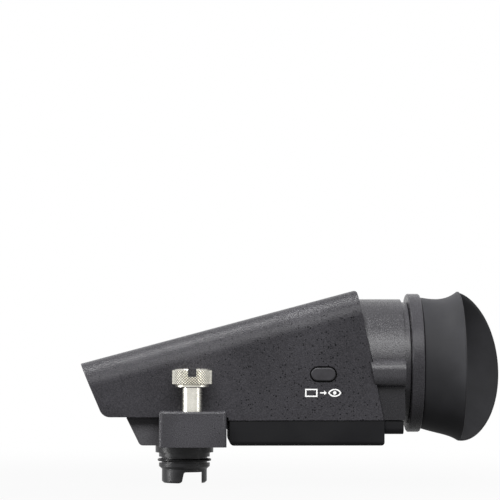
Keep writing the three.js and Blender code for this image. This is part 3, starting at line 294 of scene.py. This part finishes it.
# Covers: the black tray under the casing, held by four screws from below, the plate that closes the
# casing's floor in front of it and the strip under the eyepiece. All are left as they were moulded.
black_mould, place, shader = new_finish("black_mould")
grain = noise(place, 3800, 2.0)
cloud = noise(place, 60, 2.0)
wire(shader, {
    "Base Color": mixed(cloud.between(0.3, 0.7), (0.007, 0.007, 0.008, 1), (0.011, 0.011, 0.012, 1)),
    "Roughness": 0.42 + 0.16 * grain,
    "Normal": bumped(0.35, 0.03 * MM, grain),
    "Specular IOR Level": 0.09,
})
for node, name, edge_radius in (
    ("lower_cover", "lower_tray", 0.2 * MM),
    ("front_floor", "floor_plate", 0.15 * MM),
    ("eyepiece_bottom_cover", "eyepiece_tray", 0.2 * MM),
):
    hand_over(softened(node, edge_radius), name, "head", "cover_black", black_mould, node)

# Foot: the plate that stays on the camera, with the arm and knuckle of the tilt hinge, and the block for
# the thumb screw. Both have the casing's paint in a lighter grey, and the block's has more gloss. The
# plate's paint is lighter still: painted light, to lift the shade that the casing casts on it.
foot_paint = sprayed("foot_paint", (0.043, 0.042, 0.047), specks=0.34, grain=0.6, gloss=0.22)
# Painted light: a lighter copy of the foot's paint for the plate, against the casing's shade on it.
painted_light_foot_paint = sprayed("painted_light_foot_paint", (0.066, 0.065, 0.070), specks=0.30, grain=0.6)
hand_over(
    softened("hinge_base", 0.2 * MM), "hinge_foot", "base", "foot_grey", painted_light_foot_paint, "hinge_base"
)
hand_over(
    softened("clamp_block", 0.5 * MM, segments=3), "screw_block", "base", "foot_grey", foot_paint,
    "clamp_block",
)

# Eyepiece housing: the arched barrel behind the casing, moulded with a grip at each side. It has the
# casing's paint, glossier and with fewer specks, and below the grips its colour is darkened towards black
# as painted shade.
barrel_paint = sprayed(
    "barrel_paint", (0.036, 0.035, 0.039), specks=0.22, grain=0.6, gloss=0.26, painted_shade_below=18.6 * MM,
)
hand_over(
    softened("eyepiece_housing", 0.2 * MM), "eyepiece_barrel", "head", "moulded_body", barrel_paint,
    "eyepiece_housing",
)

# Thumb screw: turned from brass and plated with satin nickel. Its head has a diamond knurl and a coin
# slot, its stem a groove for the captive washer, and its tip the thread that enters the camera.


def box_of(node):
    """The low and the high corner of a CAD solid's box, in millimetres."""
    corners = [Vector(corner) / MM for corner in solids[node].bound_box]
    return [[round(end(corner[axis] for corner in corners), 4) for axis in range(3)] for end in (min, max)]


def middle(node):
    """The middle of a CAD solid's box, in millimetres."""
    return [(low + high) / 2 for low, high in zip(*box_of(node))]


screw_x, screw_y, _ = middle("thumb_screw")
knurl_bottom, knurl_top, knurl_rows, knurl_columns = 20.15, 24.4, 11, 80
knurl_peak, knurl_valley, knurl_core, knurl_inside = 6.45, 6.13, 6.02, 5.6

nickel, place, shader = new_finish("satin_nickel")
turning = place.node("Mapping", inputs={"Vector": place, "Scale": (60, 60, 9000)})
lines = noise(turning, 1.0, 2.0)
cloud = noise(place, 300, 3.0)
from_axis = place.node("Mapping", {"vector_type": "POINT"}, {
    "Vector": place, "Location": (-screw_x * MM, -screw_y * MM, 0), "Scale": (1, 1, 0),
})
out = from_axis.node("VectorMath", {"operation": "LENGTH"}, {0: from_axis}, output="Value")
# Painted shade: the knurl's valleys are coloured dark brown-grey for the shade that falls in them.
shade_rising = out.between((knurl_valley - 0.08) * MM, (knurl_valley - 0.03) * MM)
valley_painted_shade = shade_rising * (1 - out.between((knurl_valley + 0.02) * MM, (knurl_valley + 0.11) * MM))
plated = mixed(cloud.between(0.3, 0.7), (0.74, 0.72, 0.64, 1), (0.88, 0.86, 0.78, 1))
wire(shader, {
    "Base Color": mixed(valley_painted_shade, plated, (0.15, 0.14, 0.11, 1)),
    "Metallic": 1.0,
    "Roughness": 0.20 + 0.10 * lines,
    "Normal": bumped(0.25, 0.02 * MM, lines),
})


def spun(profile, axis="Z", steps=96):
    """A solid of revolution about an axis from a half outline of (radius, height) pairs, in millimetres."""
    radius_along, height_along = {"X": (2, 0), "Y": (0, 1), "Z": (0, 2)}[axis]
    work = bmesh.new()
    corners = []
    for radius, height in profile:
        corner = Vector((0, 0, 0))
        corner[radius_along], corner[height_along] = radius * MM, height * MM
        corners.append(work.verts.new(corner))
    for low, high in zip(corners, corners[1:]):
        work.edges.new((low, high))
    line = Vector([float(name == axis) for name in "XYZ"])
    bmesh.ops.spin(
        work, geom=work.verts[:] + work.edges[:], cent=(0, 0, 0), axis=line, angle=math.tau, steps=steps,
        use_merge=True,
    )
    bmesh.ops.remove_doubles(work, verts=work.verts, dist=0.001 * MM)
    bmesh.ops.recalc_face_normals(work, faces=work.faces)
    return work


def moved(work, x, y, z):
    """Moves a shape to its place on the object, in millimetres."""
    bmesh.ops.translate(work, verts=work.verts, vec=(x * MM, y * MM, z * MM))
    return work


def lofted(steps, rings, corner):
    """A closed shell: a ring of points is extruded from ring to ring, and each point goes to its corner."""
    work = bmesh.new()
    turn = work.verts.layers.float.new("turn")
    bmesh.ops.create_circle(work, segments=steps, radius=1)
    for point in work.verts:
        point[turn] = math.atan2(point.co.y, point.co.x)
    first = rim = work.edges[:]
    for number, ring in enumerate(rings):
        if number:
            made = bmesh.ops.extrude_edge_only(work, edges=rim)["geom"]
            rim = [part for part in made if isinstance(part, bmesh.types.BMEdge)]
        for point in {point for edge in rim for point in edge.verts}:
            point.co = Vector(corner(point[turn], ring)) * MM
    bmesh.ops.bridge_loops(work, edges=first + rim)
    bmesh.ops.recalc_face_normals(work, faces=work.faces)
    return work


def box(low, high):
    """A block between two corners, in millimetres."""
    work = bmesh.new()
    bmesh.ops.create_cube(work, size=1)
    bmesh.ops.scale(work, verts=work.verts, vec=[(b - a) * MM for a, b in zip(low, high)])
    return moved(work, *[(a + b) / 2 for a, b in zip(low, high)])


def cut_away(work, cutter):
    """The shape with the cutter taken out of it."""
    made = []
    for shape in (work, cutter):
        made.append(bpy.data.objects.new("blank", bpy.data.meshes.new("blank")))
        shape.to_mesh(made[-1].data)
        scene.collection.objects.link(made[-1])
        shape.free()
    cut = made[0].modifiers.new("cut", "BOOLEAN")
    cut.operation, cut.solver, cut.object = "DIFFERENCE", "EXACT", made[1]
    left = bpy.data.meshes.new_from_object(made[0].evaluated_get(bpy.context.evaluated_depsgraph_get()))
    result = bmesh.new()
    result.from_mesh(left)
    for blank in made:
        mesh = blank.data
        bpy.data.objects.remove(blank)
        bpy.data.meshes.remove(mesh)
    bpy.data.meshes.remove(left)
    return result


def joined(*shapes):
    """One shape out of several."""
    whole = bmesh.new()
    for shape in shapes:
        mesh = bpy.data.meshes.new("part")
        shape.to_mesh(mesh)
        shape.free()
        whole.from_mesh(mesh)
        bpy.data.meshes.remove(mesh)
    return whole


def knurl_corner(turn, row):
    """Peaks and valleys by turns round the head, and plain rings that close the band inside it."""
    column = round(turn * knurl_columns / math.tau)
    radius = knurl_peak if (column + row) % 2 else knurl_valley
    height = knurl_bottom + (knurl_top - knurl_bottom) * row / (knurl_rows - 1)
    if row < 0:
        radius, height = knurl_core, knurl_bottom - 0.2
    elif row == knurl_rows:
        radius, height = knurl_core, knurl_top + 0.22
    elif row > knurl_rows:
        radius = knurl_inside
        height = knurl_top if row == knurl_rows + 1 else knurl_bottom
    return radius * math.cos(turn), radius * math.sin(turn), height


stem = moved(spun([
    (0, 0.5), (2.2, 0.5), (2.62, 0.95), (2.62, 8.2), (2.95, 8.4), (2.95, 8.75), (2.3, 8.75), (2.3, 9.95),
    (3.1, 9.95), (3.25, 10.1), (3.25, 18.9), (3.45, 19.1), (5.3, 19.1), (5.45, 19.25), (5.45, 19.72),
    (5.32, 19.85), (5.8, 19.9), (5.98, 20.0), (5.98, 24.5), (5.8, 24.68), (5.2, 24.88), (4.2, 25.02),
    (2.5, 25.12), (0, 25.14),
]), screw_x, screw_y, 0)
knurl = moved(lofted(knurl_columns, range(-1, knurl_rows + 3), knurl_corner), screw_x, screw_y, 0)
bmesh.ops.triangulate(knurl, faces=knurl.faces, quad_method="SHORT_EDGE")
slot_low, slot_high = (screw_x - 1.35, screw_y - 10, 22.34), (screw_x + 1.35, screw_y + 10, 27)
stem = cut_away(stem, box(slot_low, slot_high))
knurl = cut_away(knurl, box(slot_low, slot_high))

thread_turns, thread_pitch, thread_steps, thread_start = 8, 0.8, 48, 1.4
thread = bmesh.new()
outline = [
    thread.verts.new((radius * MM, 0, height * MM))
    for radius, height in ((2.5, -0.36), (3.0, -0.05), (3.0, 0.05), (2.5, 0.36))
]
for number, corner in enumerate(outline):
    thread.edges.new((outline[number - 1], corner))
bmesh.ops.spin(
    thread, geom=thread.verts[:] + thread.edges[:], cent=(0, 0, 0), axis=(0, 0, 1),
    angle=math.tau * thread_turns, dvec=(0, 0, thread_pitch * MM / thread_steps),
    steps=thread_turns * thread_steps, use_merge=False,
)
bmesh.ops.holes_fill(thread, edges=[edge for edge in thread.edges if edge.is_boundary])
bmesh.ops.recalc_face_normals(thread, faces=thread.faces)
moved(thread, screw_x, screw_y, thread_start)
hand_over(
    joined(stem, knurl, thread), "slotted_screw", "thumb_screw", "nickel", nickel, "thumb_screw", crease=14,
)

# Plug: the round shell under the foot, moulded from glass-filled nylon, with two rounded collars,
# a rubber seal between them and a skirt with two windows round the block of contacts.
plug_nylon, place, shader = new_finish("plug_nylon")
fibre = noise(place, 2600, 3.0, roughness=0.7)
cloud = noise(place, 220, 2.0)
wire(shader, {
    "Base Color": mixed(cloud.between(0.3, 0.7), (0.020, 0.020, 0.022, 1), (0.040, 0.040, 0.043, 1)),
    "Roughness": 0.22 + 0.20 * fibre,
    "Normal": bumped(0.45, 0.05 * MM, fibre),
    "Specular IOR Level": 0.34,
})
hand_over(
    softened("plug_shell", 0.30 * MM, segments=3), "plug_body", "base", "plug_black", plug_nylon,
    "plug_shell",
)

seal, place, shader = new_finish("seal_rubber")
bloom = noise(place, 900, 3.0)
wire(shader, {
    "Base Color": mixed(bloom.between(0.4, 0.8), (0.008, 0.008, 0.009, 1), (0.018, 0.018, 0.019, 1)),
    "Roughness": 0.16 + 0.16 * bloom,
    "Normal": bumped(0.2, 0.02 * MM, bloom),
    "Specular IOR Level": 0.20,
})
seal_height = middle("plug_o_ring")[2]
seal_radius, seal_half_width, seal_half_height, seal_sides = 8.42, 0.5, 0.47, 20
seal_turns = [math.tau * part / seal_sides for part in range(seal_sides + 1)]
seal_section = [
    (seal_radius + seal_half_width * math.cos(turn), seal_height + seal_half_height * math.sin(turn))
    for turn in seal_turns
]
hand_over(spun(seal_section, steps=120), "sealing_ring", "base", "seal_rubber", seal, "plug_o_ring")

contact_block, place, shader = new_finish("contact_block")
grain = noise(place, 1500, 2.0)
pins_below = -8.43 * MM
pins = (pins_below - coordinate(place, "Z")).between(0.0, 0.08 * MM)
wire(shader, {
    "Base Color": mixed(pins, (0.020, 0.019, 0.018, 1), (0.75, 0.55, 0.24, 1)),
    "Metallic": pins,
    "Roughness": 0.24 + 0.2 * grain,
    "Normal": bumped(0.3, 0.03 * MM, grain),
})
solids["plug_insert"].material_slots[0].material = contact_block

# Eyecup ring: the turning ring behind the eyepiece that carries the eyecup, moulded and painted as
# the casing is, with crisp edges.
ring_paint = sprayed("ring_paint", (0.041, 0.040, 0.044), specks=0.10, grain=0.4, gloss=0.08)
hand_over(
    softened("eyecup_ring", 0.12 * MM), "turning_ring", "eyecup_turret", "moulded_body", ring_paint,
    "eyecup_ring",
)

# Eyecup: a soft rubber cup on the ring, moulded as one skin that opens towards the eye and rises
# to a wing on the far side, to keep light out from the temple.
cup_rubber, place, shader = new_finish("cup_rubber")
skin = noise(place, 2600, 3.0, roughness=0.65)
dust = noise(place, 70, 4.0)
wire(shader, {
    "Base Color": mixed(dust.between(0.35, 0.75), (0.028, 0.028, 0.030, 1), (0.036, 0.036, 0.039, 1)),
    "Roughness": 0.46 + 0.18 * skin,
    "Normal": bumped(0.35, 0.04 * MM, skin),
    "Specular IOR Level": 0.05,
})
eyepiece_height = middle("eyecup_ring")[2]
cup_front = box_of("eyecup")[0][0]
cup_floor, cup_length, cup_steps, wall_steps = cup_front + 1.8, 13.1, 144, 26
cup_bore, cup_root, cup_spread, cup_bulge, cup_wall = 17.4, 21.8, 3.4, 0.3, 1.4
spread_power, cup_drop, cup_sag = 3.4, 1.05, 0.6
wing_from, wing_power, wing_reach, wing_flare = math.radians(5), 1.15, 16.95, 1.8


def cup_corner(turn, ring):
    """A point of the cup's skin: how far along its wall, how far short of that, and how deep in it."""
    share, short, depth = ring
    wing = max(0.0, math.sin(min(max(turn - wing_from, 0.0), math.pi))) ** wing_power
    length = cup_length + wing_reach * wing
    start = (cup_floor - cup_front) / length if depth == cup_wall else 0
    along = start + (1 - start) * share - short / length
    bow = math.sin(math.pi * along)
    radius = cup_root + (cup_spread + wing_flare * wing) * along ** spread_power + cup_bulge * bow - depth
    centre = eyepiece_height - cup_drop * along - cup_sag * bow
    if share < 0:
        along, radius, centre = (start if depth else 0), cup_bore, eyepiece_height
    return cup_front + length * along, radius * math.sin(turn), centre + radius * math.cos(turn)


wall_shares = [part / wall_steps for part in range(wall_steps + 1)]
lip_start = 0.75
lip = ((lip_start, 0), (0.42, 0.08), (0.16, 0.28), (0.0, 0.70), (0.16, 1.12), (0.42, 1.32))
cup_rings = [(share, 0, 0) for share in wall_shares[:-1]]
cup_rings += [(1, short, depth) for short, depth in lip]
cup_rings += [(share, lip_start * share, cup_wall) for share in reversed(wall_shares)]
cup_rings += [(-1, 0, cup_wall), (-1, 0, 0)]
hand_over(
    lofted(cup_steps, cup_rings, cup_corner), "winged_eyecup", "eyecup_turret", "eyecup_rubber",
    cup_rubber, "eyecup",
)

# Eyepiece glass: a flat window with a bevelled edge, and behind it two coated lenses in a sliding
# carriage. A third lens closes the front of the tube.
coated, place, shader = new_finish("coated_glass")
smear = noise(place, 120, 4.0)
wire(shader, {
    "Base Color": (0.96, 0.98, 0.97, 1),
    "Roughness": 0.015 + 0.03 * smear.between(0.55, 0.85),
    "Transmission Weight": 1.0,
    "IOR": 1.17,
    "Coat Weight": 0.12,
    "Coat Tint": (0.70, 0.84, 0.76, 1),
    "Coat Roughness": 0.02,
})
pane_bevel, lens_edge = 0.2, 1.2
(front, _, _), (back, rim, _) = box_of("protective_window")
pane = [
    (0, front), (rim - pane_bevel, front), (rim, front + pane_bevel), (rim, back - pane_bevel),
    (rim - pane_bevel, back), (0, back),
]
pane_shape = moved(spun(pane, "X"), 0, 0, eyepiece_height)
hand_over(pane_shape, "eyepiece_window", "head", "optical_glass", coated, "protective_window")

shares = [part / 10 for part in range(11)]
for node, name, body in (
    ("eyepiece_lens_2", "rear_lens", "carriage"),
    ("eyepiece_lens_1", "middle_lens", "carriage"),
    ("field_lens", "front_lens", "head"),
):
    (front, _, _), (back, rim, _) = box_of(node)
    dome = (back - front - lens_edge) / 2
    domed = [(rim * share, front + dome * share * share) for share in shares]
    domed += [(rim * share, back - dome * share * share) for share in reversed(shares)]
    hand_over(
        moved(spun(domed, "X"), 0, 0, eyepiece_height), name, body, "optical_glass", coated, node
    )

# Tube and carriage: black mouldings inside the eyepiece that hold the lenses and the display. They
# stay dull, with fine rings of texture, so that no light strays off their walls.
dull_black, place, shader = new_finish("dull_black")
grain = noise(place, 3200, 2.0)
bands = {"wave_type": "BANDS", "bands_direction": "X"}
fine_rings = place.node("TexWave", bands, {"Vector": place, "Scale": 320})
wire(shader, {
    "Base Color": mixed(grain.between(0.3, 0.7), (0.008, 0.008, 0.008, 1), (0.014, 0.014, 0.015, 1)),
    "Roughness": 0.62 + 0.16 * grain,
    "Normal": bumped(0.5, 0.08 * MM, fine_rings * 0.6 + grain * 0.4),
    "Specular IOR Level": 0.15,
})
for node in ("lens_barrel", "lens_carriage", "display_frame"):
    solids[node].material_slots[0].material = dull_black

# Display and sensor: the panel that the eyepiece looks at, a dark glass with a fine grid of dots,
# and the small window that senses the eye at the cup.
dark_glass, place, shader = new_finish("dark_glass")
dots = place.node("TexVoronoi", {"feature": "F1"}, {"Vector": place, "Scale": 9000, "Randomness": 0.0})
wire(shader, {
    "Base Color": mixed(dots.between(0.2, 0.5), (0.016, 0.020, 0.030, 1), (0.006, 0.007, 0.010, 1)),
    "Roughness": 0.06 + 0.08 * dots,
    "Coat Weight": 1.0,
    "Coat Roughness": 0.03,
})
for node in ("display_panel", "eye_sensor"):
    solids[node].material_slots[0].material = dark_glass

# Circuit boards: green glass-epoxy boards with copper tracks under the lacquer, and the processor
# in black epoxy. They lie inside the casing.
lacquer, place, shader = new_finish("green_lacquer")
tracks = place.node("TexBrick", {"offset": 0.35}, {
    "Vector": place, "Scale": 260, "Mortar Size": 0.06, "Color1": (0, 0, 0, 1), "Color2": (0, 0, 0, 1),
    "Mortar": (1, 1, 1, 1),
}, output="Fac")
weave = noise(place, 1800, 2.0)
wire(shader, {
    "Base Color": mixed(tracks * 0.7, (0.010, 0.075, 0.034, 1), (0.045, 0.165, 0.070, 1)),
    "Roughness": 0.24 + 0.18 * weave,
    "Normal": bumped(0.4, 0.04 * MM, tracks + weave * 0.4),
})
for node in ("main_board", "interface_board", "switch_board"):
    solids[node].material_slots[0].material = lacquer

chip, place, shader = new_finish("chip_epoxy")
grain = noise(place, 4200, 3.0)
wire(shader, {
    "Base Color": mixed(grain.between(0.3, 0.7), (0.012, 0.012, 0.013, 1), (0.026, 0.026, 0.027, 1)),
    "Roughness": 0.48 + 0.2 * grain,
    "Normal": bumped(0.4, 0.03 * MM, grain),
})
solids["processor"].material_slots[0].material = chip

# Push button: an oval key in a close-fitting hole of the casing's near side, moulded with a rounded
# edge that catches the light from above, and with a flange inside that keeps it in.
key_plastic, place, shader = new_finish("key_plastic")
grain = noise(place, 3000, 2.0)
cloud = noise(place, 500, 2.0)
# Painted shade: where the key lies back in its hole, deeper than the casing's face, it is coloured
# near-black.
painted_shade_in_hole = coordinate(place, "Y").between(-22.4 * MM, -22.0 * MM)
key_grey = mixed(cloud.between(0.3, 0.7), (0.036, 0.035, 0.038, 1), (0.044, 0.043, 0.047, 1))
wire(shader, {
    "Base Color": mixed(painted_shade_in_hole, key_grey, (0.004, 0.004, 0.004, 1)),
    "Roughness": 0.24 + 0.10 * grain,
    "Normal": bumped(0.2, 0.03 * MM, grain),
    "Specular IOR Level": 0.12,
})
button_x, _, button_z = middle("vf_button")


def oval(length, height, near, far, edge=0.0):
    """A slab with round ends between two depths, its near edge rounded."""
    work = bmesh.new()
    bmesh.ops.create_circle(work, cap_ends=True, segments=48, radius=height / 2 * MM)
    for corner in work.verts:
        corner.co.x += math.copysign((length - height) / 2 * MM, corner.co.x)
    bmesh.ops.rotate(work, verts=work.verts, matrix=Matrix.Rotation(math.radians(90), 3, "X"))
    bmesh.ops.translate(work, verts=work.verts, vec=(0, near * MM, 0))
    rim = work.edges[:]
    back = bmesh.ops.extrude_face_region(work, geom=work.faces[:], use_keep_orig=True)["geom"]
    points = [part for part in back if isinstance(part, bmesh.types.BMVert)]
    bmesh.ops.translate(work, verts=points, vec=(0, (far - near) * MM, 0))
    bmesh.ops.recalc_face_normals(work, faces=work.faces)
    if edge:
        bmesh.ops.bevel(
            work, geom=rim, offset=edge * MM, offset_type="OFFSET", segments=4, profile=0.5, affect="EDGES",
            material=-1,
        )
    return moved(work, button_x, 0, button_z)


key = joined(oval(7.9, 4.3, near=-22.85, far=-21.0, edge=0.45), oval(9.9, 6.3, near=-20.4, far=-19.4))
hand_over(key, "push_button", "button", "moulded_body", key_plastic, "vf_button")

# Printed sign: a screen, an arrow and an eye in white ink under the button, to say that the button
# moves the picture from the camera's screen to the eyepiece. It is printed flat on the casing.
ink, place, shader = new_finish("white_ink")
wear = noise(place, 2500, 3.0)
wire(shader, {
    "Base Color": mixed(wear.between(0.25, 0.6), (0.78, 0.78, 0.77, 1), (0.92, 0.92, 0.91, 1)),
    "Roughness": 0.45 + 0.2 * wear,
})
casing_side = box_of("main_housing")[0][1]
ink_depth, ink_stroke = 0.02, 0.42


def printed(points, x, z, fill=False):
    """A flat ink shape from corners given from its middle: filled, or a line of one stroke along them."""
    work = bmesh.new()
    corners = [work.verts.new(((x + a) * MM, casing_side * MM, (z + b) * MM)) for a, b in points]
    face = work.faces.new(corners)
    work.normal_update()
    if not fill:
        bmesh.ops.inset_region(
            work, faces=[face], thickness=ink_stroke * MM, use_boundary=True, use_even_offset=True,
        )
        bmesh.ops.delete(work, geom=[face], context="FACES")
    raised = bmesh.ops.extrude_face_region(work, geom=work.faces[:])["geom"]
    top = [part for part in raised if isinstance(part, bmesh.types.BMVert)]
    bmesh.ops.translate(work, verts=top, vec=(0, -ink_depth * MM, 0))
    bmesh.ops.recalc_face_normals(work, faces=work.faces)
    return work


screen = [(-2.0, -1.3), (2.0, -1.3), (2.0, 1.3), (-2.0, 1.3)]
arrow = [(-1.0, -0.2), (0.3, -0.2), (0.3, -0.75), (1.2, 0), (0.3, 0.75), (0.3, 0.2), (-1.0, 0.2)]
eye_turns = [math.tau * part / 32 for part in range(32)]
eye = [(2.1 * math.cos(turn), 1.3 * math.sin(turn) * abs(math.sin(turn)) ** 0.35) for turn in eye_turns]
pupil_turns = [math.tau * part / 24 for part in range(24)]
pupil = [(0.55 * math.cos(turn), 0.55 * math.sin(turn)) for turn in pupil_turns]
screen_x, arrow_x, eye_x, sign_z = button_x - 3.95, button_x - 0.1, button_x + 3.65, button_z - 6
hand_over(joined(
    printed(screen, screen_x, sign_z),
    printed(arrow, arrow_x, sign_z, fill=True),
    printed(eye, eye_x, sign_z),
    printed(pupil, eye_x, sign_z, fill=True),
), "printed_sign", "head", "moulded_body", ink)

# Dioptre dial: the fluted wheel at the foot of the far grip, in the casing's paint. Its crank
# slides the lens carriage.
hand_over(
    softened("dioptre_dial", 0.08 * MM), "dioptre_wheel", "dioptre", "moulded_body", casing_paint,
    "dioptre_dial",
)

# Fasteners: four cross-head screws that hold the lower cover from below, two socket screws that
# hold the clamp block to the foot, and the washer that keeps the thumb screw in its block. They are of
# blackened steel, and so is the can of the button's switch.
steel, place, shader = new_finish("blackened_steel")
turning = noise(place, 1800, 3.0)
worn = noise(place, 500, 4.0).between(0.50, 0.75)
wire(shader, {
    "Base Color": mixed(worn, (0.11, 0.11, 0.12, 1), (0.30, 0.30, 0.31, 1)),
    "Metallic": 1.0,
    "Roughness": 0.26 + 0.16 * turning,
    "Normal": bumped(0.25, 0.02 * MM, turning),
})
cover_screw = [
    (0, 0.9), (1.45, 0.9), (1.75, 1.0), (1.9, 1.25), (1.9, 2.15), (1.0, 2.2), (1.0, 11.4), (0.75, 11.7),
    (0, 11.7),
]
cross_reach, cross_half_width, cross_from, cross_to = 1.05, 0.24, 0.5, 1.65
for node in ("cover_screw_1", "cover_screw_2", "cover_screw_3", "cover_screw_4"):
    x, y, _ = middle(node)
    shape = spun(cover_screw, steps=48)
    for a, b in ((cross_reach, cross_half_width), (cross_half_width, cross_reach)):
        shape = cut_away(shape, box((-a, -b, cross_from), (a, b, cross_to)))
    hand_over(moved(shape, x, y, 0), node + "_seen", "head", "steel", steel, node)

block_screw = [
    (0, 0.4), (2.0, 0.4), (2.2, 0.55), (2.2, 1.75), (1.25, 1.8), (1.25, 7.1), (0.95, 7.4), (0, 7.4),
]
socket_radius, socket_height = 1.15 * MM, 2.4 * MM
for node in ("block_screw_1", "block_screw_2"):
    x, y, _ = middle(node)
    socket = bmesh.new()
    bmesh.ops.create_cone(
        socket, cap_ends=True, segments=6, radius1=socket_radius, radius2=socket_radius,
        depth=socket_height,
    )
    shape = cut_away(spun(block_screw, steps=48), socket)
    hand_over(moved(shape, x, y, 0), node + "_seen", "base", "steel", steel, node)

washer = [(2.6, 9.05), (4.4, 9.05), (4.5, 9.15), (4.5, 9.55), (4.4, 9.65), (2.6, 9.65), (2.6, 9.05)]
hand_over(
    moved(spun(washer, steps=64), screw_x, screw_y, 0), "retaining_washer", "screw_carrier", "steel",
    steel, "captive_washer",
)
solids["tact_switch"].material_slots[0].material = steel

# Tilt hinge: a ground steel pin through the casing's ears and the foot's knuckle, with a brass
# friction washer on each side that holds the casing where it is set.
pin_x, _, pin_z = middle("hinge_pin")
pin = [(0, -12.4), (1.2, -12.4), (1.5, -12.1), (1.5, 12.1), (1.2, 12.4), (0, 12.4)]
hand_over(moved(spun(pin, "Y", 64), pin_x, 0, pin_z), "tilt_pin", "base", "steel", steel, "hinge_pin")
brass, place, shader = new_finish("brass")
rubbed = noise(place, 900, 4.0)
wire(shader, {
    "Base Color": mixed(rubbed.between(0.35, 0.65), (0.42, 0.27, 0.09, 1), (0.62, 0.44, 0.18, 1)),
    "Metallic": 1.0,
    "Roughness": 0.28 + 0.2 * rubbed,
    "Normal": bumped(0.25, 0.02 * MM, rubbed),
})
washer = [(1.7, 0), (4.05, 0), (4.2, 0.15), (4.2, 0.65), (4.05, 0.8), (1.7, 0.8), (1.7, 0)]
for node in ("hinge_washer_near", "hinge_washer_far"):
    y = box_of(node)[0][1]
    hand_over(moved(spun(washer, "Y", 64), pin_x, y, pin_z), node + "_seen", "base", "brass", brass, node)
